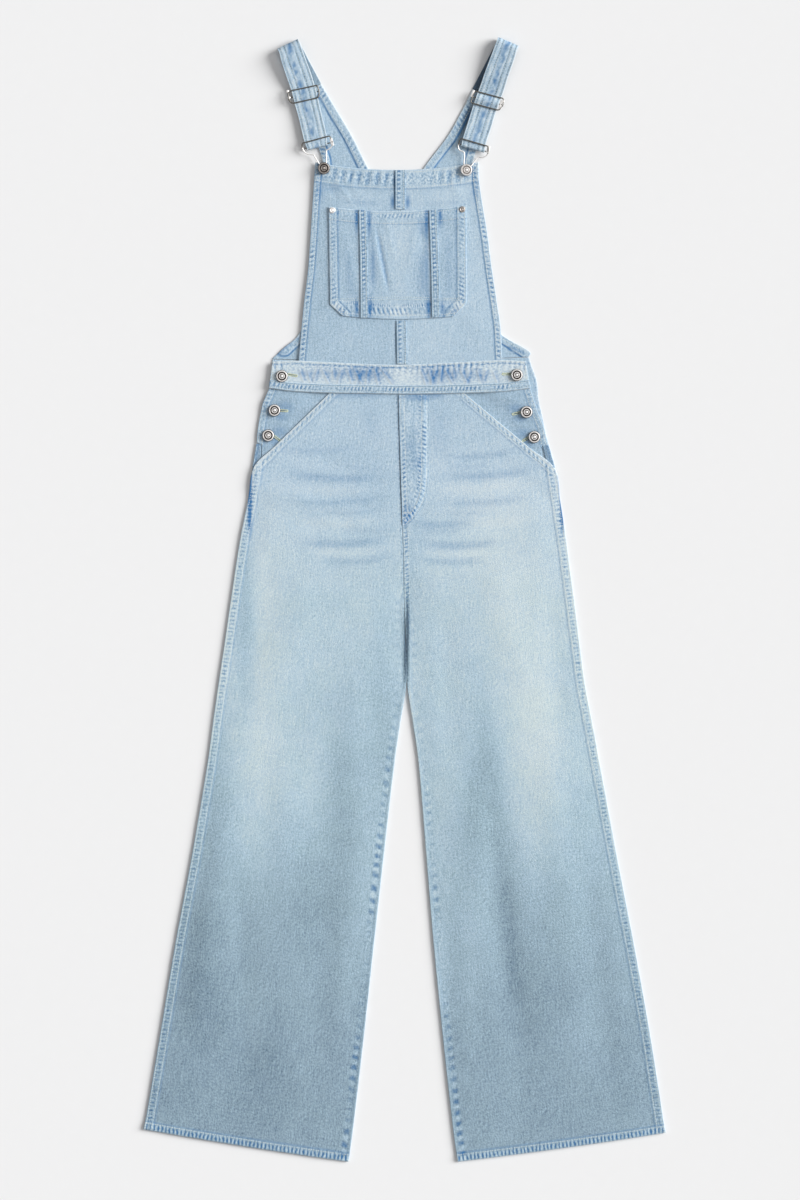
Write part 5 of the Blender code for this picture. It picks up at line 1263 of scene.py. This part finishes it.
wires = {"thick": 1.8, "bar": 1.5, "frameZ": 8.1, "centreZ": 6.4, "topZ": 9.2, "hookZ": 5.7}
frameZ, centreZ, topZ, hookZ = wires["frameZ"], wires["centreZ"], wires["topZ"], wires["hookZ"]
hardware = {
    "slider_left": {"loop": [(-159.6, 711.2, frameZ), (-163.0, 707.6, frameZ), (-161.6, 698.6, frameZ), (-157.6, 693.4, frameZ),
                             (-120.6, 701.7, frameZ), (-119.0, 709.6, frameZ), (-122.3, 719.1, frameZ)], "closed": True,
                    "knobs": [(*seen(287.6, 92.0), 7.6, 2.2), (*seen(289.2, 98.4), 7.6, 2.1)], "dark": 0.0,
                    "bar": [(-162.2, 701.4, frameZ), (-159.2, 702.1, centreZ), (-120.7, 710.6, centreZ), (-119.2, 710.9, frameZ)]},
    "slider_right": {"loop": [(99.0, 711.0, frameZ), (95.0, 704.0, frameZ), (92.8, 694.6, frameZ), (131.6, 683.9, frameZ),
                              (137.4, 690.4, frameZ), (138.6, 700.4, frameZ)], "closed": True, "dark": 0.0,
                     "tabs": [(*seen(472.6, 94.2), 8.3, 3.0, 10.0, -19.0, 0.0), (*seen(501.2, 105.2), 8.3, 4.4, 12.5, -17.0, 1.0)],
                     "bar": [(94.8, 703.2, frameZ), (96.9, 702.6, centreZ), (134.6, 692.0, centreZ), (137.5, 691.2, frameZ)]},
    "buckle_left": {"loop": [(-109.5, 628.0, 5.9), (-103.6, 631.4, 6.2), (-100.1, 636.5, 6.8), (-104.4, 648.3, topZ),
                             (-143.3, 637.6, topZ), (-143.1, 631.2, 6.9), (-139.4, 624.9, 6.2), (-133.7, 622.2, 5.9),
                             (-127.4, 622.6, 5.8), (-122.5, 614.5, hookZ)], "closed": False, "hook": (-112.7, 603.0), "dark": 7.9,
                    "tabs": [(*seen(332.0, 142.6), 8.6, 4.0, 11.0, 15.0, 0.9)],
                    "bar": [(-143.1, 631.6, 7.0), (-139.8, 630.7, 5.4), (-104.4, 638.8, 5.4), (-101.0, 638.6, 7.2)]},
    "buckle_right": {"loop": [(103.2, 619.6, 5.9), (109.6, 617.8, 6.1), (116.4, 621.6, 6.8), (117.3, 633.4, topZ),
                              (78.6, 644.7, topZ), (74.6, 634.8, 6.9), (76.4, 628.4, 6.2), (83.3, 626.2, 5.9),
                              (84.0, 618.5, 5.8), (83.0, 611.5, hookZ)], "closed": False, "hook": (86.6, 600.6), "dark": 7.9,
                     "tabs": [(*seen(488.2, 150.0), 7.9, 4.2, 10.0, -14.0, 0.0)],
                     "bar": [(74.9, 635.6, 7.1), (77.6, 637.0, 5.4), (114.6, 626.6, 5.4), (116.8, 626.4, 7.6)]},
}
for node, spec in hardware.items():
    loop = roundCorners(spec["loop"], 2.5, 5, spec["closed"])
    if "hook" in spec:
        x, y = spec["hook"]
        loop += [Vector((x + 3.8 * math.cos(a), y + 3.8 * math.sin(a), hookZ)) for a in np.radians(np.linspace(155.0, 385.0, 19))]
        loop.append(loop[0])
    wire = bentWire(node + "_wire", loop, wires["thick"], spec["closed"], silver)
    wire.data.materials.append(darkReflectionMetal)
    for face in wire.data.polygons:  # painted dark reflection: above this height the wire takes the darker copy of the metal
        face.material_index = int(face.center.z / mm > spec["dark"])
    bar = bentWire(node + "_bar_wire", spec["bar"], wires["bar"], False, darkReflectionMetal)
    finishPiece(wire, [node])
    finishPiece(bar, [])
    for k, (x, y, z, wide, long, turn, hole) in enumerate(spec.get("tabs", ())):
        finishPiece(tab(f"{node}_tab_{k + 1}", (x, y, z), (wide, long, 1.0), turn, hole), [])
    for k, (x, y, z, radius) in enumerate(spec.get("knobs", ())):
        finishPiece(knob(f"{node}_knob_{k + 1}", (x, y, z), radius), [])
print("hardware made")

# Floor, light and camera
bpy.ops.object.select_all(action="DESELECT")
bpy.ops.mesh.primitive_plane_add(size=9.0, location=(0.0, 0.0, -0.0004))
floor = bpy.context.object
floor.name = "floor"
t = Tree("floor_paper")
speckle = t.noise(t.mapped(t.add("TexCoord").outputs["Object"], (60, 60, 60)), detail=2.0)
shade = t.add("ValToRGB", {"Fac": speckle})
for band, value in zip(shade.color_ramp.elements, (0.795, 0.805)):
    band.color = (value, value, value, 1.0)
t.links.new(shade.outputs[0], t.shader.inputs["Base Color"])
t.set(Roughness=1.0, Specular_IOR_Level=0.0)
floor.data.materials.append(t.material)

world = bpy.data.worlds.new("studio")
bpy.context.scene.world = world
world.use_nodes = True
wn, wl = world.node_tree.nodes, world.node_tree.links
upness = wn.new("ShaderNodeSeparateXYZ")
wl.new(wn.new("ShaderNodeTexCoord").outputs["Generated"], upness.inputs[0])
skyRamp = wn.new("ShaderNodeValToRGB")
wl.new(upness.outputs[2], skyRamp.inputs[0])
for band, (at, value) in zip(skyRamp.color_ramp.elements, ((0.0, 0.10), (1.0, 0.56))):
    band.position, band.color = at, (value, value, value * 1.01, 1.0)
wl.new(skyRamp.outputs[0], wn["Background"].inputs[0])

lamp = {"height": 27.0, "around": 16.0, "strength": 4.8, "softness": 0.62}
sun = bpy.data.lights.new("window", "SUN")
sun.energy, sun.angle = lamp["strength"], lamp["softness"]
sunObject = bpy.data.objects.new("window", sun)
bpy.context.collection.objects.link(sunObject)
raised, turned = math.radians(lamp["height"]), math.radians(lamp["around"])
towards = Vector((math.cos(raised) * math.cos(turned), math.cos(raised) * math.sin(turned), math.sin(raised)))
sunObject.rotation_mode = "QUATERNION"
sunObject.rotation_quaternion = (-towards).to_track_quat("-Z", "Y")

photoView = {"lens": 135.0, "tall": 1.68, "x": -0.0063, "y": -0.0007}
cameraData = bpy.data.cameras.new("overhead")
cameraData.lens, cameraData.sensor_width = photoView["lens"], 36.0
camera = bpy.data.objects.new("overhead", cameraData)
bpy.context.collection.objects.link(camera)
camera.location = (photoView["x"], photoView["y"], photoView["tall"] * photoView["lens"] / 36.0)
bpy.context.scene.camera = camera
bpy.context.scene.view_settings.view_transform = "Standard"

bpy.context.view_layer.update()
triangles = {o.name: sum(len(f.vertices) - 2 for f in o.data.polygons) for o in bpy.data.objects if o.type == "MESH"}
print("all pieces made, at most", max(triangles.values()), "triangles each and", sum(triangles.values()), "in all")
